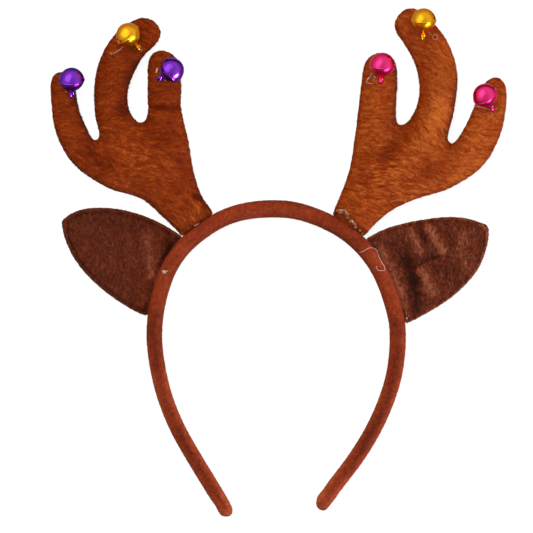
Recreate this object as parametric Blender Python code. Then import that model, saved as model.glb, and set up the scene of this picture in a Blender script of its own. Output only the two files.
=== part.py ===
"""Reindeer antler headband: a felt-covered band, two stuffed plush antlers, two ears and six jingle bells.

The headband lies on its back on a table. +Z is up, out of its front face, and +Y runs from the tips of the
band towards the antlers. Left is -X, as the front is seen. The origin is under the middle of the whole thing.
Lengths are metres; the tables below are in millimetres.
"""

import math

import bmesh
import bpy
import numpy as np
from mathutils import Matrix, Vector
from mathutils.bvhtree import BVHTree
from mathutils.geometry import delaunay_2d_cdt, interpolate_bezier

MM = 0.001
GAP = 0.3 * MM

BAND_DEPTH = 9.0 * MM
BAND_SIDES = 14
BAND_SQUARENESS = 2.3
BAND_STEP = 7.6 * MM
BAND_END = 2.6 * MM
BAND_CLEARANCE = 0.4 * MM

ANTLER_THICKNESS = 9.6 * MM
ANTLER_MIDDLE = 4.5 * MM
ANTLER_SHOULDER = 11.0 * MM
ANTLER_EDGE_STEP = 3.7 * MM
ANTLER_INSETS = (1.2 * MM, 4.0 * MM)
ANTLER_FILL_STEP = 4.7 * MM
ROOT_PINCH = 0.52
ROOT_PINCH_LENGTH = 13.0 * MM

EAR_MIDDLE = 3.1 * MM
EAR_DROOP = 1.3 * MM
EAR_DROOP_LENGTH = 38.0 * MM
EAR_EDGE_STEP = 4.2 * MM
EAR_INSETS = (0.7 * MM, 2.4 * MM, 3.8 * MM)
EAR_FILL_STEP = 5.0 * MM

BELL_RADIUS = 5.4 * MM
BELL_WALL = 0.4 * MM
BELL_SIDES = 16
BELL_RINGS = 10
BELL_HOLLOW_SIDES = 12
BELL_HOLLOW_RINGS = 7
WAIST_HEIGHT = 0.55 * MM
WAIST_WIDTH = 0.7 * MM
CONE_APEX = 7.2 * MM
NECK_RADIUS = 0.85 * MM
SLOT_WIDTH = 0.8 * MM
SLOT_END = 1.5 * MM
SLOT_HOLE_RADIUS = 0.95 * MM
LOOP_CENTRE = 7.6 * MM
LOOP_RADIUS = 1.35 * MM
LOOP_WIRE = 0.45 * MM
LOOP_SIDES = 12
LOOP_WIRE_SIDES = 6
PELLET_RADIUS = 1.3 * MM

GLUE_GAP = 0.4 * MM
GLUE_UNDER_BELL = 1.25 * MM
GLUE_THINNEST = 0.15 * MM
GLUE_SIDES = 10
GLUE_EDGE_MARGIN = 1.8 * MM

BAND_COURSE = (
    # stretch, x, y, thickness
    ("left tip", -22.8, -115.0, 6.3),
    ("left leg", -28.3, -105.5, 6.4),
    ("left leg", -37.2, -90.9, 6.4),
    ("left leg", -45.6, -76.3, 6.4),
    ("left leg", -51.6, -61.8, 6.4),
    ("left side", -55.1, -47.2, 6.5),
    ("left side", -56.6, -32.7, 6.6),
    ("left side", -54.7, -17.3, 6.7),
    ("left shoulder", -49.5, -1.9, 6.9),
    ("left shoulder", -40.2, 10.0, 7.0),
    ("left crown", -21.8, 21.5, 7.1),
    ("crown", 0.1, 24.4, 7.5),
    ("right crown", 14.7, 21.6, 7.1),
    ("right shoulder", 32.5, 12.4, 7.0),
    ("right shoulder", 45.5, -2.6, 6.9),
    ("right side", 53.6, -24.7, 6.9),
    ("right side", 54.4, -36.3, 6.9),
    ("right side", 52.8, -51.0, 6.8),
    ("right leg", 48.2, -65.5, 6.7),
    ("right leg", 41.1, -80.1, 6.6),
    ("right leg", 31.4, -94.6, 6.5),
    ("right leg", 25.4, -101.8, 6.4),
    ("right tip", 19.0, -112.4, 6.2),
)

ANTLER_PATTERN = (
    # landmark, left x, left y, right x, right y
    ("inner root, under the band", -29.3, 18.3, 24.0, 17.4),
    ("inner root, at the band", -30.5, 23.5, 25.8, 24.1),
    ("inner root, above the band", -34.9, 29.5, 29.0, 31.8),
    ("inner palm, low", -38.6, 40.1, 32.6, 42.0),
    ("inner palm, high", -41.5, 56.5, 34.9, 56.1),
    ("inner tine, foot", -44.5, 69.9, 36.7, 70.2),
    ("inner tine, inner side", -44.5, 81.1, 38.1, 82.0),
    ("inner tip, inner shoulder", -45.9, 92.0, 40.1, 91.8),
    ("inner tip", -52.7, 96.3, 46.7, 95.3),
    ("inner tip, outer shoulder", -58.4, 93.4, 52.6, 92.2),
    ("inner tine, outer side", -59.3, 81.1, 53.7, 81.1),
    ("inner crotch, inner side", -59.5, 65.6, 53.2, 65.2),
    ("inner crotch", -61.8, 62.4, 54.9, 61.2),
    ("inner crotch, outer side", -66.8, 66.1, 60.8, 65.8),
    ("middle tine, inner low", -69.1, 74.7, 64.4, 76.5),
    ("middle tine, inner middle", -67.0, 83.8, 62.9, 88.8),
    ("middle tine, inner high", -61.1, 94.5, 57.2, 100.0),
    ("hook, under side", -55.0, 100.2, 53.6, 104.7),
    ("hook, end", -53.8, 105.9, 53.3, 110.4),
    ("hook, top", -60.2, 111.1, 60.1, 115.6),
    ("hook, shoulder", -70.2, 107.2, 69.0, 110.2),
    ("middle tine, outer high", -78.6, 97.5, 77.4, 98.8),
    ("middle tine, outer middle", -83.2, 83.8, 81.2, 84.7),
    ("middle tine, outer low", -83.2, 66.5, 79.3, 67.0),
    ("outer crotch, inner side", -81.0, 57.0, 76.5, 55.6),
    ("outer crotch", -83.0, 54.0, 78.8, 52.9),
    ("outer tine, inner low", -86.5, 58.8, 83.6, 58.8),
    ("outer tine, inner middle", -91.3, 70.6, 89.0, 69.7),
    ("outer tip, inner shoulder", -93.4, 82.0, 93.1, 80.2),
    ("outer tip", -98.4, 87.0, 98.6, 84.4),
    ("outer tip, outer shoulder", -103.0, 84.0, 102.9, 81.1),
    ("outer tine, outer side", -103.3, 75.2, 103.4, 72.0),
    ("sweep, high", -101.2, 59.5, 100.7, 58.0),
    ("sweep, middle", -93.3, 45.0, 92.8, 43.9),
    ("sweep, low", -77.6, 34.0, 77.2, 33.5),
    ("neck, outer high", -62.2, 29.1, 63.0, 29.1),
    ("neck, outer low", -54.1, 22.3, 50.2, 23.0),
    ("outer root, at the band", -45.3, 13.8, 39.4, 12.6),
    ("outer root, under the band", -41.1, 9.4, 36.7, 7.6),
)

EAR_PATTERN = (
    # landmark, left x, left y, right x, right y
    ("top root, under the band", -42.6, 8.4, 37.6, 6.6),
    ("top root, at the band", -45.0, 12.2, 40.7, 10.8),
    ("top edge, near", -58.4, 19.8, 52.2, 16.2),
    ("top edge, far", -72.9, 24.0, 71.8, 20.0),
    ("top edge, at the tip", -86.6, 24.4, 84.9, 20.0),
    ("tip, upper corner", -94.8, 21.7, 92.7, 17.2),
    ("tip", -97.8, 17.8, 95.4, 13.7),
    ("tip, lower corner", -97.1, 11.0, 94.8, 7.0),
    ("lower edge, far", -91.7, 0.0, 90.0, -4.3),
    ("lower edge, middle", -81.6, -10.9, 79.3, -15.4),
    ("lower edge, near", -68.3, -20.4, 66.9, -23.3),
    ("bottom root, at the band", -59.5, -24.3, 57.3, -27.9),
    ("bottom root, under the band", -55.4, -22.8, 53.4, -26.2),
    ("root, middle", -51.4, -6.0, 48.0, -9.0),
)

EAR_SECTION = (
    # place, distance in from the edge, half thickness
    ("edge", 0.0, 0.0),
    ("hem, rounded", 0.7, 1.1),
    ("hem, top", 1.4, 1.5),
    ("hem, inner side", 2.4, 1.5),
    ("panel", 3.6, 1.15),
    ("panel, middle", 14.0, 1.35),
)

FOLDS = (
    # piece, fold, from x, from y, to x, to y, height, width
    ("antler_left", "crease across the inner tine", -57.0, 70.4, -44.8, 70.8, -1.3, 2.8),
    ("antler_left", "swelling at the root", -38.0, 23.0, -33.5, 31.0, 0.7, 4.5),
    ("antler_right", "dent beside the neck", 44.0, 30.0, 58.0, 33.0, -0.7, 5.0),
    ("ear_left", "hollow in the middle", -84.0, 8.0, -66.0, 2.0, -0.6, 9.0),
    ("ear_right", "valley beside the band", 56.3, 7.8, 64.9, -21.7, -1.5, 3.2),
    ("ear_right", "ridge from the top edge", 66.7, 16.9, 75.9, 3.3, 0.9, 3.6),
    ("ear_right", "ridge by the band", 60.8, 12.4, 64.5, 3.3, 0.7, 2.6),
    ("ear_right", "ridge at the tip", 84.0, 12.4, 84.0, -1.3, 0.7, 4.0),
    ("ear_right", "crease to the valley", 62.7, -1.3, 73.6, 4.2, -0.8, 2.4),
)

BELLS = (
    # tine, colour, x, y, bearing of the loop, its dip, turn of the slot about it (degrees)
    ("left_outer", "purple", -93.7, 82.8, -90, 29, 0),
    ("left_middle", "gold", -68.1, 103.0, -49, 20, 30),
    ("left_inner", "purple", -48.15, 87.1, -146, 31, -30),
    ("right_inner", "pink", 47.1, 89.5, -94, 24, 40),
    ("right_middle", "gold", 65.8, 109.7, -91, 16, 20),
    ("right_outer", "pink", 93.6, 75.5, -57, 33, 37),
)

BELL_GLUE_RADIUS = 4.6 * MM
BELL_GLUE_SMALLEST = 3.2 * MM
BELL_GLUE_HEIGHT = 1.5 * MM

ROOT_GLUE = (
    # side, x, y, half length, half width, bearing (degrees), height
    ("left", -35.6, 20.6, 3.4, 2.0, 36, 1.0),
    ("right", 31.6, 19.4, 5.4, 3.2, -35, 1.4),
)

COLOURS = {
    # name: (sRGB hex, roughness, metallic)
    "felt": ("74301a", 0.95, 0.0),
    "plush": ("93401a", 0.9, 0.0),
    "dark_plush": ("613020", 0.9, 0.0),
    "purple": ("7a35b8", 0.25, 1.0),
    "gold": ("e3a81e", 0.25, 1.0),
    "pink": ("d63a78", 0.25, 1.0),
    "steel": ("8c8c90", 0.35, 1.0),
    "glue": ("d8c3a8", 0.2, 0.0),
}


def clear_scene():
    for obj in list(bpy.data.objects):
        bpy.data.objects.remove(obj)


def linear(channel):
    return channel / 12.92 if channel <= 0.04045 else ((channel + 0.055) / 1.055) ** 2.4


def material(name):
    """The named finish, made on its first use."""
    if name in bpy.data.materials:
        return bpy.data.materials[name]
    code, roughness, metallic = COLOURS[name]
    red, green, blue = (linear(int(code[i : i + 2], 16) / 255) for i in (0, 2, 4))
    made = bpy.data.materials.new(name)
    made.use_nodes = True
    shader = made.node_tree.nodes["Principled BSDF"]
    shader.inputs["Base Color"].default_value = (red, green, blue, 1)
    shader.inputs["Roughness"].default_value = roughness
    shader.inputs["Metallic"].default_value = metallic
    made.diffuse_color = (red, green, blue, 1)
    return made


def add_object(name, mesh, finish=None):
    """Links an object for the mesh. Without a finish it is a helper, which isn't part of the model."""
    obj = bpy.data.objects.new(name, mesh)
    bpy.context.scene.collection.objects.link(obj)
    if finish:
        mesh.materials.clear()
        mesh.materials.append(material(finish))
        mesh.shade_smooth()
        mesh.set_sharp_from_angle(angle=math.radians(40))
    else:
        obj.hide_render = True
        obj.display_type = "WIRE"
    return obj


def mesh_from(name, verts, faces):
    mesh = bpy.data.meshes.new(name)
    mesh.from_pydata(verts, [], faces)
    mesh.validate()
    return mesh


def boolean(obj, operation, other):
    modifier = obj.modifiers.new(f"{operation} {other.name}".lower(), "BOOLEAN")
    modifier.operation = operation
    modifier.solver = "EXACT"
    modifier.object = other


def smooth_line(knots, closed):
    """A dense smooth polyline through the knots, as an array of points."""
    count = len(knots)

    def knot(index):
        return knots[index % count] if closed else knots[min(max(index, 0), count - 1)]

    line = []
    for index in range(count if closed else count - 1):
        start, end = knot(index), knot(index + 1)
        reach = (end - start).length / 3
        leave = start + (end - knot(index - 1)).normalized() * reach
        arrive = end - (knot(index + 2) - start).normalized() * reach
        line += interpolate_bezier(start, leave, arrive, end, 13)[:-1]
    if not closed:
        line.append(knot(count - 1))
    return np.array(line)


def lengths_along(line):
    steps = np.linalg.norm(np.diff(line[:, :2], axis=0), axis=1)
    return np.concatenate([[0], np.cumsum(steps)])


def at_lengths(line, wanted):
    travelled = lengths_along(line)
    return np.column_stack([np.interp(wanted, travelled, column) for column in line.T])


def even_loop(knots, step):
    """The closed outline through the knots, at even steps, counter-clockwise."""
    line = smooth_line(knots, closed=True)
    line = np.vstack([line, line[:1]])
    total = lengths_along(line)[-1]
    loop = at_lengths(line, np.linspace(0, total, round(total / step) + 1)[:-1])[:, :2]
    x, y = loop.T
    area = (x * np.roll(y, -1) - y * np.roll(x, -1)).sum()
    return loop if area > 0 else loop[::-1]


def distance_to_line(points, starts, ends):
    """The distance from each point to the nearest of the segments."""
    step = ends - starts
    offset = points[:, None] - starts[None]
    along = (offset * step).sum(axis=-1) / (step * step).sum(axis=-1)
    along = np.clip(along, 0, 1)[..., None]
    return np.linalg.norm(offset - along * step, axis=-1).min(axis=1)


def is_inside(points, loop):
    """Whether each point is inside the closed outline, by counting the edges to its right."""
    x, y = points[:, :1], points[:, 1:]
    x1, y1 = loop.T
    x2, y2 = np.roll(loop, -1, axis=0).T
    crossed = (y1 > y) != (y2 > y)
    rise = np.where(y1 == y2, 1.0, y2 - y1)
    to_right = x < x1 + (y - y1) * (x2 - x1) / rise
    return (crossed & to_right).sum(axis=1) % 2 == 1


def band_line():
    """The middle of the band from tip to tip, with its thickness in the plane as the third column."""
    knots = [Vector((x, y, thickness)) * MM for _, x, y, thickness in BAND_COURSE]
    return smooth_line(knots, closed=False)


def band_stations(line):
    """Lengths along the band, close together in its rounded ends, and how full the band is at each."""
    total = lengths_along(line)[-1]
    end = [(share * BAND_END, math.sqrt(1 - (1 - share) ** 2)) for share in (0.04, 0.2, 0.5)]
    middle_count = round((total - 2 * BAND_END) / BAND_STEP)
    middle = [(length, 1.0) for length in np.linspace(BAND_END, total - BAND_END, middle_count + 1)]
    return end + middle + [(total - length, fullness) for length, fullness in reversed(end)]


def band_mesh(name, grow=0.0):
    """The felt-covered band: an oval swept along its middle line, larger by grow all round."""
    line = band_line()
    verts, rings = [], []
    for length, fullness in band_stations(line):
        x, y, thickness = at_lengths(line, [length])[0]
        before, after = at_lengths(line[:, :2], [length - BAND_END, length + BAND_END])
        across = Vector((after[1] - before[1], before[0] - after[0], 0)).normalized()
        ring = []
        for side in range(BAND_SIDES):
            angle = 2 * math.pi * side / BAND_SIDES - math.pi / 2
            wide = math.copysign(abs(math.cos(angle)) ** (2 / BAND_SQUARENESS), math.cos(angle))
            high = math.copysign(abs(math.sin(angle)) ** (2 / BAND_SQUARENESS), math.sin(angle))
            place = Vector((x, y, BAND_DEPTH / 2)) + across * wide * (thickness * fullness / 2 + grow)
            place.z += high * (BAND_DEPTH * fullness / 2 + grow)
            ring.append(len(verts))
            verts.append(place)
        rings.append(ring)
    faces = [rings[0][::-1], rings[-1]]
    for ring, following in zip(rings, rings[1:]):
        for side in range(BAND_SIDES):
            near = (side + 1) % BAND_SIDES
            faces.append((ring[side], ring[near], following[near], following[side]))
    mesh = mesh_from(name, verts, faces)
    outward(mesh)
    return mesh


def outward(mesh):
    """Turns every face of a closed mesh outwards."""
    bm = bmesh.new()
    bm.from_mesh(mesh)
    bmesh.ops.recalc_face_normals(bm, faces=bm.faces)
    bm.to_mesh(mesh)
    bm.free()


def band_distance(points):
    """How far each point is from the middle line of the band."""
    middle = band_line()[:, :2]
    return distance_to_line(points, middle[:-1], middle[1:])


def band_top(points):
    """The height of the band's upper side over each point, or below the table beside the band."""
    share = band_distance(points) / (band_line()[:, 2].mean() / 2)
    rise = np.clip(1 - share**BAND_SQUARENESS, 0, 1) ** (1 / BAND_SQUARENESS)
    return np.where(share < 1, BAND_DEPTH / 2 * (1 + rise), -BAND_DEPTH)


def antler_section(inset):
    """Half the thickness of a stuffed antler, by the distance in from its seam."""
    share = 1 - np.clip(inset / ANTLER_SHOULDER, 0, 1)
    return ANTLER_THICKNESS / 2 * np.sqrt(1 - share**2)


def ear_section(inset):
    """Half the thickness of an ear, by the distance in from its edge."""
    insets = [row[1] * MM for row in EAR_SECTION]
    halves = [row[2] * MM for row in EAR_SECTION]
    return np.interp(inset, insets, halves)


class Cushion:
    """Two skins that meet at an outline and are held apart inside it, with folds across them."""

    def __init__(self, name, outline, section, middle, droop=0.0, pinched=False):
        self.name = name
        self.outline = outline
        self.section = section
        self.middle = middle
        self.droop = droop
        self.pinched = pinched
        self.folds = [row[2:] for row in FOLDS if row[0] == name]

    def edge_distance(self, points):
        return distance_to_line(points, self.outline, np.roll(self.outline, -1, axis=0))

    def middle_height(self, points):
        """The height of the seam, which sinks towards the table away from the band."""
        return self.middle - self.droop * np.clip(band_distance(points) / EAR_DROOP_LENGTH, 0, 1)

    def half_thickness(self, points):
        half = self.section(self.edge_distance(points))
        if not self.pinched:
            return half
        eased = np.clip(band_distance(points) / ROOT_PINCH_LENGTH, 0, 1)
        eased = eased * eased * (3 - 2 * eased)
        return half * (ROOT_PINCH + (1 - ROOT_PINCH) * eased)

    def fold_height(self, points):
        """How far the folds lift the front skin. They fade out at the outline, where the skins meet."""
        lift = np.zeros(len(points))
        for x1, y1, x2, y2, height, width in self.folds:
            start = np.array([[x1, y1]]) * MM
            end = np.array([[x2, y2]]) * MM
            away = distance_to_line(points, start, end)
            lift += height * MM * np.exp(-((away / (width * MM)) ** 2))
        return lift * np.clip(self.edge_distance(points) / (1.5 * MM), 0, 1)

    def top(self, points):
        inside = is_inside(points, self.outline)
        height = self.middle_height(points) + self.half_thickness(points) + self.fold_height(points)
        return np.where(inside, height, -self.middle)

    def bottom(self, points):
        """The back: pressed flat where it meets the table, with a thin piece's folds carried through."""
        height = self.middle_height(points) - self.half_thickness(points)
        if not self.pinched:
            height = height + self.fold_height(points)
        return np.maximum(height, 0)

    def inner_points(self, insets, step):
        """Points for the skins: rings that follow the outline, then an even triangular field."""
        before = np.roll(self.outline, 1, axis=0)
        after = np.roll(self.outline, -1, axis=0)
        along = after - before
        inward = np.column_stack([-along[:, 1], along[:, 0]])
        inward /= np.linalg.norm(inward, axis=1)[:, None]
        kept = np.empty((0, 2))
        for inset in insets:
            ring = self.outline + inward * inset
            clear = is_inside(ring, self.outline) & (self.edge_distance(ring) > 0.9 * inset)
            kept = self.thinned(kept, ring[clear], min(2.2 * inset, 0.72 * step))
        low, high = self.outline.min(axis=0), self.outline.max(axis=0)
        rows = np.arange(low[1], high[1], step * math.sqrt(0.75))
        field = [
            (x + (index % 2) * step / 2, y)
            for index, y in enumerate(rows)
            for x in np.arange(low[0], high[0], step)
        ]
        field = np.array(field)
        field = field[is_inside(field, self.outline)]
        field = field[self.edge_distance(field) > insets[-1] + 0.45 * step]
        return self.thinned(kept, field, 0.72 * step)

    @staticmethod
    def thinned(kept, offered, spacing):
        """The points kept so far, with each offered one that isn't too near a kept one."""
        for point in offered:
            if not len(kept) or np.linalg.norm(kept - point, axis=1).min() > spacing:
                kept = np.vstack([kept, point])
        return kept

    def mesh(self, insets, step):
        rim = len(self.outline)
        points = np.vstack([self.outline, self.inner_points(insets, step)])
        border = [(index, (index + 1) % rim) for index in range(rim)]
        flat = [Vector(point) for point in points]
        flat, _, triangles, _, _, _ = delaunay_2d_cdt(flat, border, [], 1, 1e-8)
        points = np.array([point[:] for point in flat])
        if any(max(triangle) < rim for triangle in triangles):
            raise ValueError(f"{self.name}: a corner of the outline has no inner point")
        top, bottom = self.top(points), self.bottom(points)
        top[:rim] = self.middle_height(self.outline)
        verts = [(x, y, z) for (x, y), z in zip(points, top)]
        verts += [(x, y, z) for (x, y), z in zip(points[rim:], bottom[rim:])]
        below = len(points) - rim
        faces = [tuple(triangle) for triangle in triangles]
        for triangle in triangles:
            faces.append(tuple(index if index < rim else index + below for index in reversed(triangle)))
        mesh = mesh_from(self.name, verts, faces)
        outward(mesh)
        return mesh


def pattern_outline(pattern, side, step):
    first = 1 if side == "left" else 3
    knots = [Vector(row[first : first + 2]) * MM for row in pattern]
    return even_loop(knots, step)


def lathe_mesh(name, profile, sides):
    """A body turned about Z from (radius, height) rows, whose first and last radius is zero."""
    verts = [(0, 0, profile[0][1])]
    for radius, height in profile[1:-1]:
        for side in range(sides):
            angle = 2 * math.pi * side / sides
            verts.append((radius * math.cos(angle), radius * math.sin(angle), height))
    verts.append((0, 0, profile[-1][1]))
    last = len(verts) - 1
    faces = []
    for side in range(sides):
        near = (side + 1) % sides
        faces.append((0, 1 + side, 1 + near))
        for ring in range(len(profile) - 3):
            low, high = 1 + ring * sides, 1 + (ring + 1) * sides
            faces.append((low + side, high + side, high + near, low + near))
        faces.append((last, last - sides + near, last - sides + side))
    mesh = mesh_from(name, verts, faces)
    outward(mesh)
    return mesh


def ball_profile(radius, rings):
    angles = [math.pi * ring / rings for ring in range(rings + 1)]
    return [(radius * math.sin(angle), -radius * math.cos(angle)) for angle in angles]


def bell_profile():
    """A ball up to where the cone to the neck leaves it, with the crimped waist proud of it."""
    leaves = BELL_RADIUS**2 / CONE_APEX
    half_angle = math.asin(BELL_RADIUS / CONE_APEX)
    neck = CONE_APEX - NECK_RADIUS / math.tan(half_angle)
    ball = [row for row in ball_profile(BELL_RADIUS, BELL_RINGS) if row[1] < leaves - 0.2 * BELL_RADIUS]
    under = [row for row in ball if row[1] < -WAIST_WIDTH]
    over = [row for row in ball if row[1] > WAIST_WIDTH]
    waist_radius = BELL_RADIUS + WAIST_HEIGHT
    waist = [(BELL_RADIUS, -WAIST_WIDTH / 2), (waist_radius, 0), (BELL_RADIUS, WAIST_WIDTH / 2)]
    cone = [(leaves * math.tan(math.acos(leaves / BELL_RADIUS)), leaves), (NECK_RADIUS, neck)]
    return under + waist + over + cone + [(0, neck)]


def bell_mesh():
    """A hollow jingle bell about the origin, its loop at +Z, its slot under it along Y."""
    inner = BELL_RADIUS - BELL_WALL
    shell = add_object("bell_shell", lathe_mesh("bell_shell", bell_profile(), BELL_SIDES))
    hollow_profile = ball_profile(inner, BELL_HOLLOW_RINGS)
    hollow = add_object("bell_hollow", lathe_mesh("bell_hollow", hollow_profile, BELL_HOLLOW_SIDES))

    bm = bmesh.new()
    bmesh.ops.create_cube(bm, size=1)
    slot_height = BELL_RADIUS
    slot_size = (SLOT_WIDTH, 2.4 * BELL_RADIUS, slot_height)
    bmesh.ops.scale(bm, vec=slot_size, verts=bm.verts)
    bmesh.ops.translate(bm, vec=(0, 0, -SLOT_END - slot_height / 2), verts=bm.verts)
    slot = bpy.data.meshes.new("bell_slot")
    bm.to_mesh(slot)
    bm.free()
    slot = add_object("bell_slot", slot)

    bm = bmesh.new()
    bmesh.ops.create_cone(
        bm,
        cap_ends=True,
        segments=8,
        radius1=SLOT_HOLE_RADIUS,
        radius2=SLOT_HOLE_RADIUS,
        depth=2.4 * BELL_RADIUS,
        matrix=Matrix.Translation((0, 0, -SLOT_END)) @ Matrix.Rotation(math.pi / 2, 4, "X"),
    )
    holes = bpy.data.meshes.new("bell_holes")
    bm.to_mesh(holes)
    bm.free()
    holes = add_object("bell_holes", holes)

    loop = add_object("bell_loop", loop_mesh())
    for operation, other in (
        ("DIFFERENCE", hollow),
        ("DIFFERENCE", slot),
        ("DIFFERENCE", holes),
        ("UNION", loop),
    ):
        boolean(shell, operation, other)
    bpy.context.view_layer.update()
    evaluated = shell.evaluated_get(bpy.context.evaluated_depsgraph_get())
    mesh = bpy.data.meshes.new_from_object(evaluated)
    for helper in (shell, hollow, slot, holes, loop):
        bpy.data.objects.remove(helper)
    mesh.name = "bell"
    return mesh


def loop_mesh():
    """The wire ring that the bell hangs by, in the XZ plane."""
    verts = []
    for turn in range(LOOP_SIDES):
        around = 2 * math.pi * (turn + 0.5) / LOOP_SIDES
        for side in range(LOOP_WIRE_SIDES):
            angle = 2 * math.pi * side / LOOP_WIRE_SIDES
            radius = LOOP_RADIUS + LOOP_WIRE * math.cos(angle)
            x, z = radius * math.cos(around), LOOP_CENTRE + radius * math.sin(around)
            verts.append((x, LOOP_WIRE * math.sin(angle), z))
    faces = []
    for turn in range(LOOP_SIDES):
        here, ahead = turn * LOOP_WIRE_SIDES, (turn + 1) % LOOP_SIDES * LOOP_WIRE_SIDES
        for side in range(LOOP_WIRE_SIDES):
            near = (side + 1) % LOOP_WIRE_SIDES
            faces.append((here + side, here + near, ahead + near, ahead + side))
    mesh = mesh_from("bell_loop", verts, faces)
    outward(mesh)
    return mesh


def bell_turn(bearing, dip, turn):
    """The rotation that points the loop along the bearing and below the level."""
    bearing, dip, turn = map(math.radians, (bearing, dip, turn))
    return (
        Matrix.Rotation(bearing, 4, "Z")
        @ Matrix.Rotation(math.pi / 2 + dip, 4, "Y")
        @ Matrix.Rotation(turn, 4, "Z")
    )


def glue_mesh(name, centre, half_length, half_width, bearing, height, floor, ceiling):
    """A bead that follows the surface under it, domed, and kept under whatever is set in it."""
    shares = (0.55, 1.0)
    places = [np.array(centre)]
    swells = [1.0]
    along = np.array([math.cos(bearing), math.sin(bearing)])
    across = np.array([-along[1], along[0]])
    for share in shares:
        for side in range(GLUE_SIDES):
            angle = 2 * math.pi * side / GLUE_SIDES
            reach = along * half_length * math.cos(angle) + across * half_width * math.sin(angle)
            places.append(places[0] + reach * share)
            swells.append(math.sqrt(1 - share**2))
    places = np.array(places)
    low = floor(places) + GLUE_GAP
    high = low + np.maximum(height * np.array(swells), GLUE_THINNEST)
    high = np.minimum(high, ceiling(places) - GLUE_GAP)
    high = np.maximum(high, low + GLUE_THINNEST)
    verts = [(*place, z) for place, z in zip(places, low)]
    verts += [(*place, z) for place, z in zip(places, high)]
    faces = []
    for side in range(GLUE_SIDES):
        near = (side + 1) % GLUE_SIDES
        inner, outer = 1, 1 + GLUE_SIDES
        under = [
            (0, inner + near, inner + side),
            (inner + side, inner + near, outer + side),
            (inner + near, outer + near, outer + side),
        ]
        faces += under
        faces += [tuple(index + len(places) for index in reversed(face)) for face in under]
        faces.append((outer + side, outer + near, outer + near + len(places), outer + side + len(places)))
    mesh = mesh_from(name, verts, faces)
    outward(mesh)
    return mesh


def underside_of(mesh, transform):
    """A function giving the height of the placed mesh's underside over each point."""
    verts = [transform @ vert.co for vert in mesh.vertices]
    tree = BVHTree.FromPolygons(verts, [polygon.vertices[:] for polygon in mesh.polygons])

    def height(points):
        heights = []
        for x, y in points:
            hit = tree.ray_cast(Vector((x, y, 0)), Vector((0, 0, 1)))[0]
            heights.append(hit.z if hit else math.inf)
        return np.array(heights)

    return height


def add_bells(antlers):
    """Each bell on its tine, with the bead of glue under it and the pellet inside it."""
    shape = bell_mesh()
    pellet_drop = (BELL_RADIUS - BELL_WALL) * math.cos(math.pi / BELL_HOLLOW_SIDES) - GAP - PELLET_RADIUS
    for tine, colour, x, y, bearing, dip, turn in BELLS:
        antler = antlers[tine.split("_")[0]]
        turned = bell_turn(bearing, dip, turn)
        offsets = np.array([(turned @ vert.co)[:] for vert in shape.vertices])
        low = offsets[offsets[:, 2] < 0]
        under = antler.top(low[:, :2] + np.array((x, y)) * MM)
        seat = (under - low[:, 2]).max() + GLUE_UNDER_BELL
        centre = Vector((x * MM, y * MM, seat))

        bell = add_object(f"bell_{tine}", shape.copy(), colour)
        bell.matrix_world = Matrix.Translation(centre) @ turned

        pellet_shape = lathe_mesh(f"pellet_{tine}", ball_profile(PELLET_RADIUS, 6), 10)
        pellet = add_object(f"pellet_{tine}", pellet_shape, "steel")
        pellet.location = centre - Vector((0, 0, pellet_drop))

        nearest = low[(under - low[:, 2]).argmax(), :2] + np.array((x, y)) * MM
        add_bell_glue(tine, antler, nearest, bell)


def add_bell_glue(tine, antler, nearest, bell):
    """A round bead where the bell comes nearest to the plush, kept off the antler's seam."""
    loop_end = bell.matrix_world @ Vector((0, 0, LOOP_CENTRE))
    wanted = 0.5 * (nearest + np.array(loop_end[:2]))
    shifts = np.arange(-6, 7) * MM
    spots = wanted + np.array([(x, y) for x in shifts for y in shifts])
    room = antler.edge_distance(spots) * is_inside(spots, antler.outline) - GLUE_EDGE_MARGIN
    shortfall = np.maximum(BELL_GLUE_SMALLEST - room, 0)
    best = (np.linalg.norm(spots - wanted, axis=1) + 10 * shortfall).argmin()
    centre = spots[best]
    radius = min(BELL_GLUE_RADIUS, room[best])
    ceiling = underside_of(bell.data, bell.matrix_world)
    name = f"glue_{tine}"
    mesh = glue_mesh(name, centre, radius, radius, 0, BELL_GLUE_HEIGHT, antler.top, ceiling)
    add_object(name, mesh, "glue")


def add_root_glue(antlers):
    """The beads in the corner between each antler and the band."""
    for side, x, y, half_length, half_width, bearing, height in ROOT_GLUE:
        antler = antlers[side]

        def floor(points, antler=antler):
            return np.maximum(antler.top(points), band_top(points))

        def ceiling(points):
            return np.full(len(points), math.inf)

        name = f"glue_root_{side}"
        mesh = glue_mesh(
            name,
            (x * MM, y * MM),
            half_length * MM,
            half_width * MM,
            math.radians(bearing),
            height * MM,
            floor,
            ceiling,
        )
        add_object(name, mesh, "glue")


def main():
    clear_scene()
    add_object("headband", band_mesh("headband"), "felt")
    clearance = add_object("band_clearance", band_mesh("band_clearance", BAND_CLEARANCE))
    antlers = {}
    for side in ("left", "right"):
        outline = pattern_outline(ANTLER_PATTERN, side, ANTLER_EDGE_STEP)
        antlers[side] = Cushion(f"antler_{side}", outline, antler_section, ANTLER_MIDDLE, pinched=True)
        shape = antlers[side].mesh(ANTLER_INSETS, ANTLER_FILL_STEP)
        boolean(add_object(f"antler_{side}", shape, "plush"), "DIFFERENCE", clearance)

        outline = pattern_outline(EAR_PATTERN, side, EAR_EDGE_STEP)
        ear = Cushion(f"ear_{side}", outline, ear_section, EAR_MIDDLE, droop=EAR_DROOP)
        shape = ear.mesh(EAR_INSETS, EAR_FILL_STEP)
        boolean(add_object(f"ear_{side}", shape, "dark_plush"), "DIFFERENCE", clearance)
    add_bells(antlers)
    add_root_glue(antlers)


main()
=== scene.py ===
"""Reindeer antler headband: two plush antlers and two ears on a felt-covered band, with six jingle bells.

The frame's solids give every piece its place. This script gives them their covers of brushed plush and felt,
dyed metal and hot glue. Lengths are metres, and the tables are in millimetres. Left is -X in the front view.
"""

import math

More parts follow.
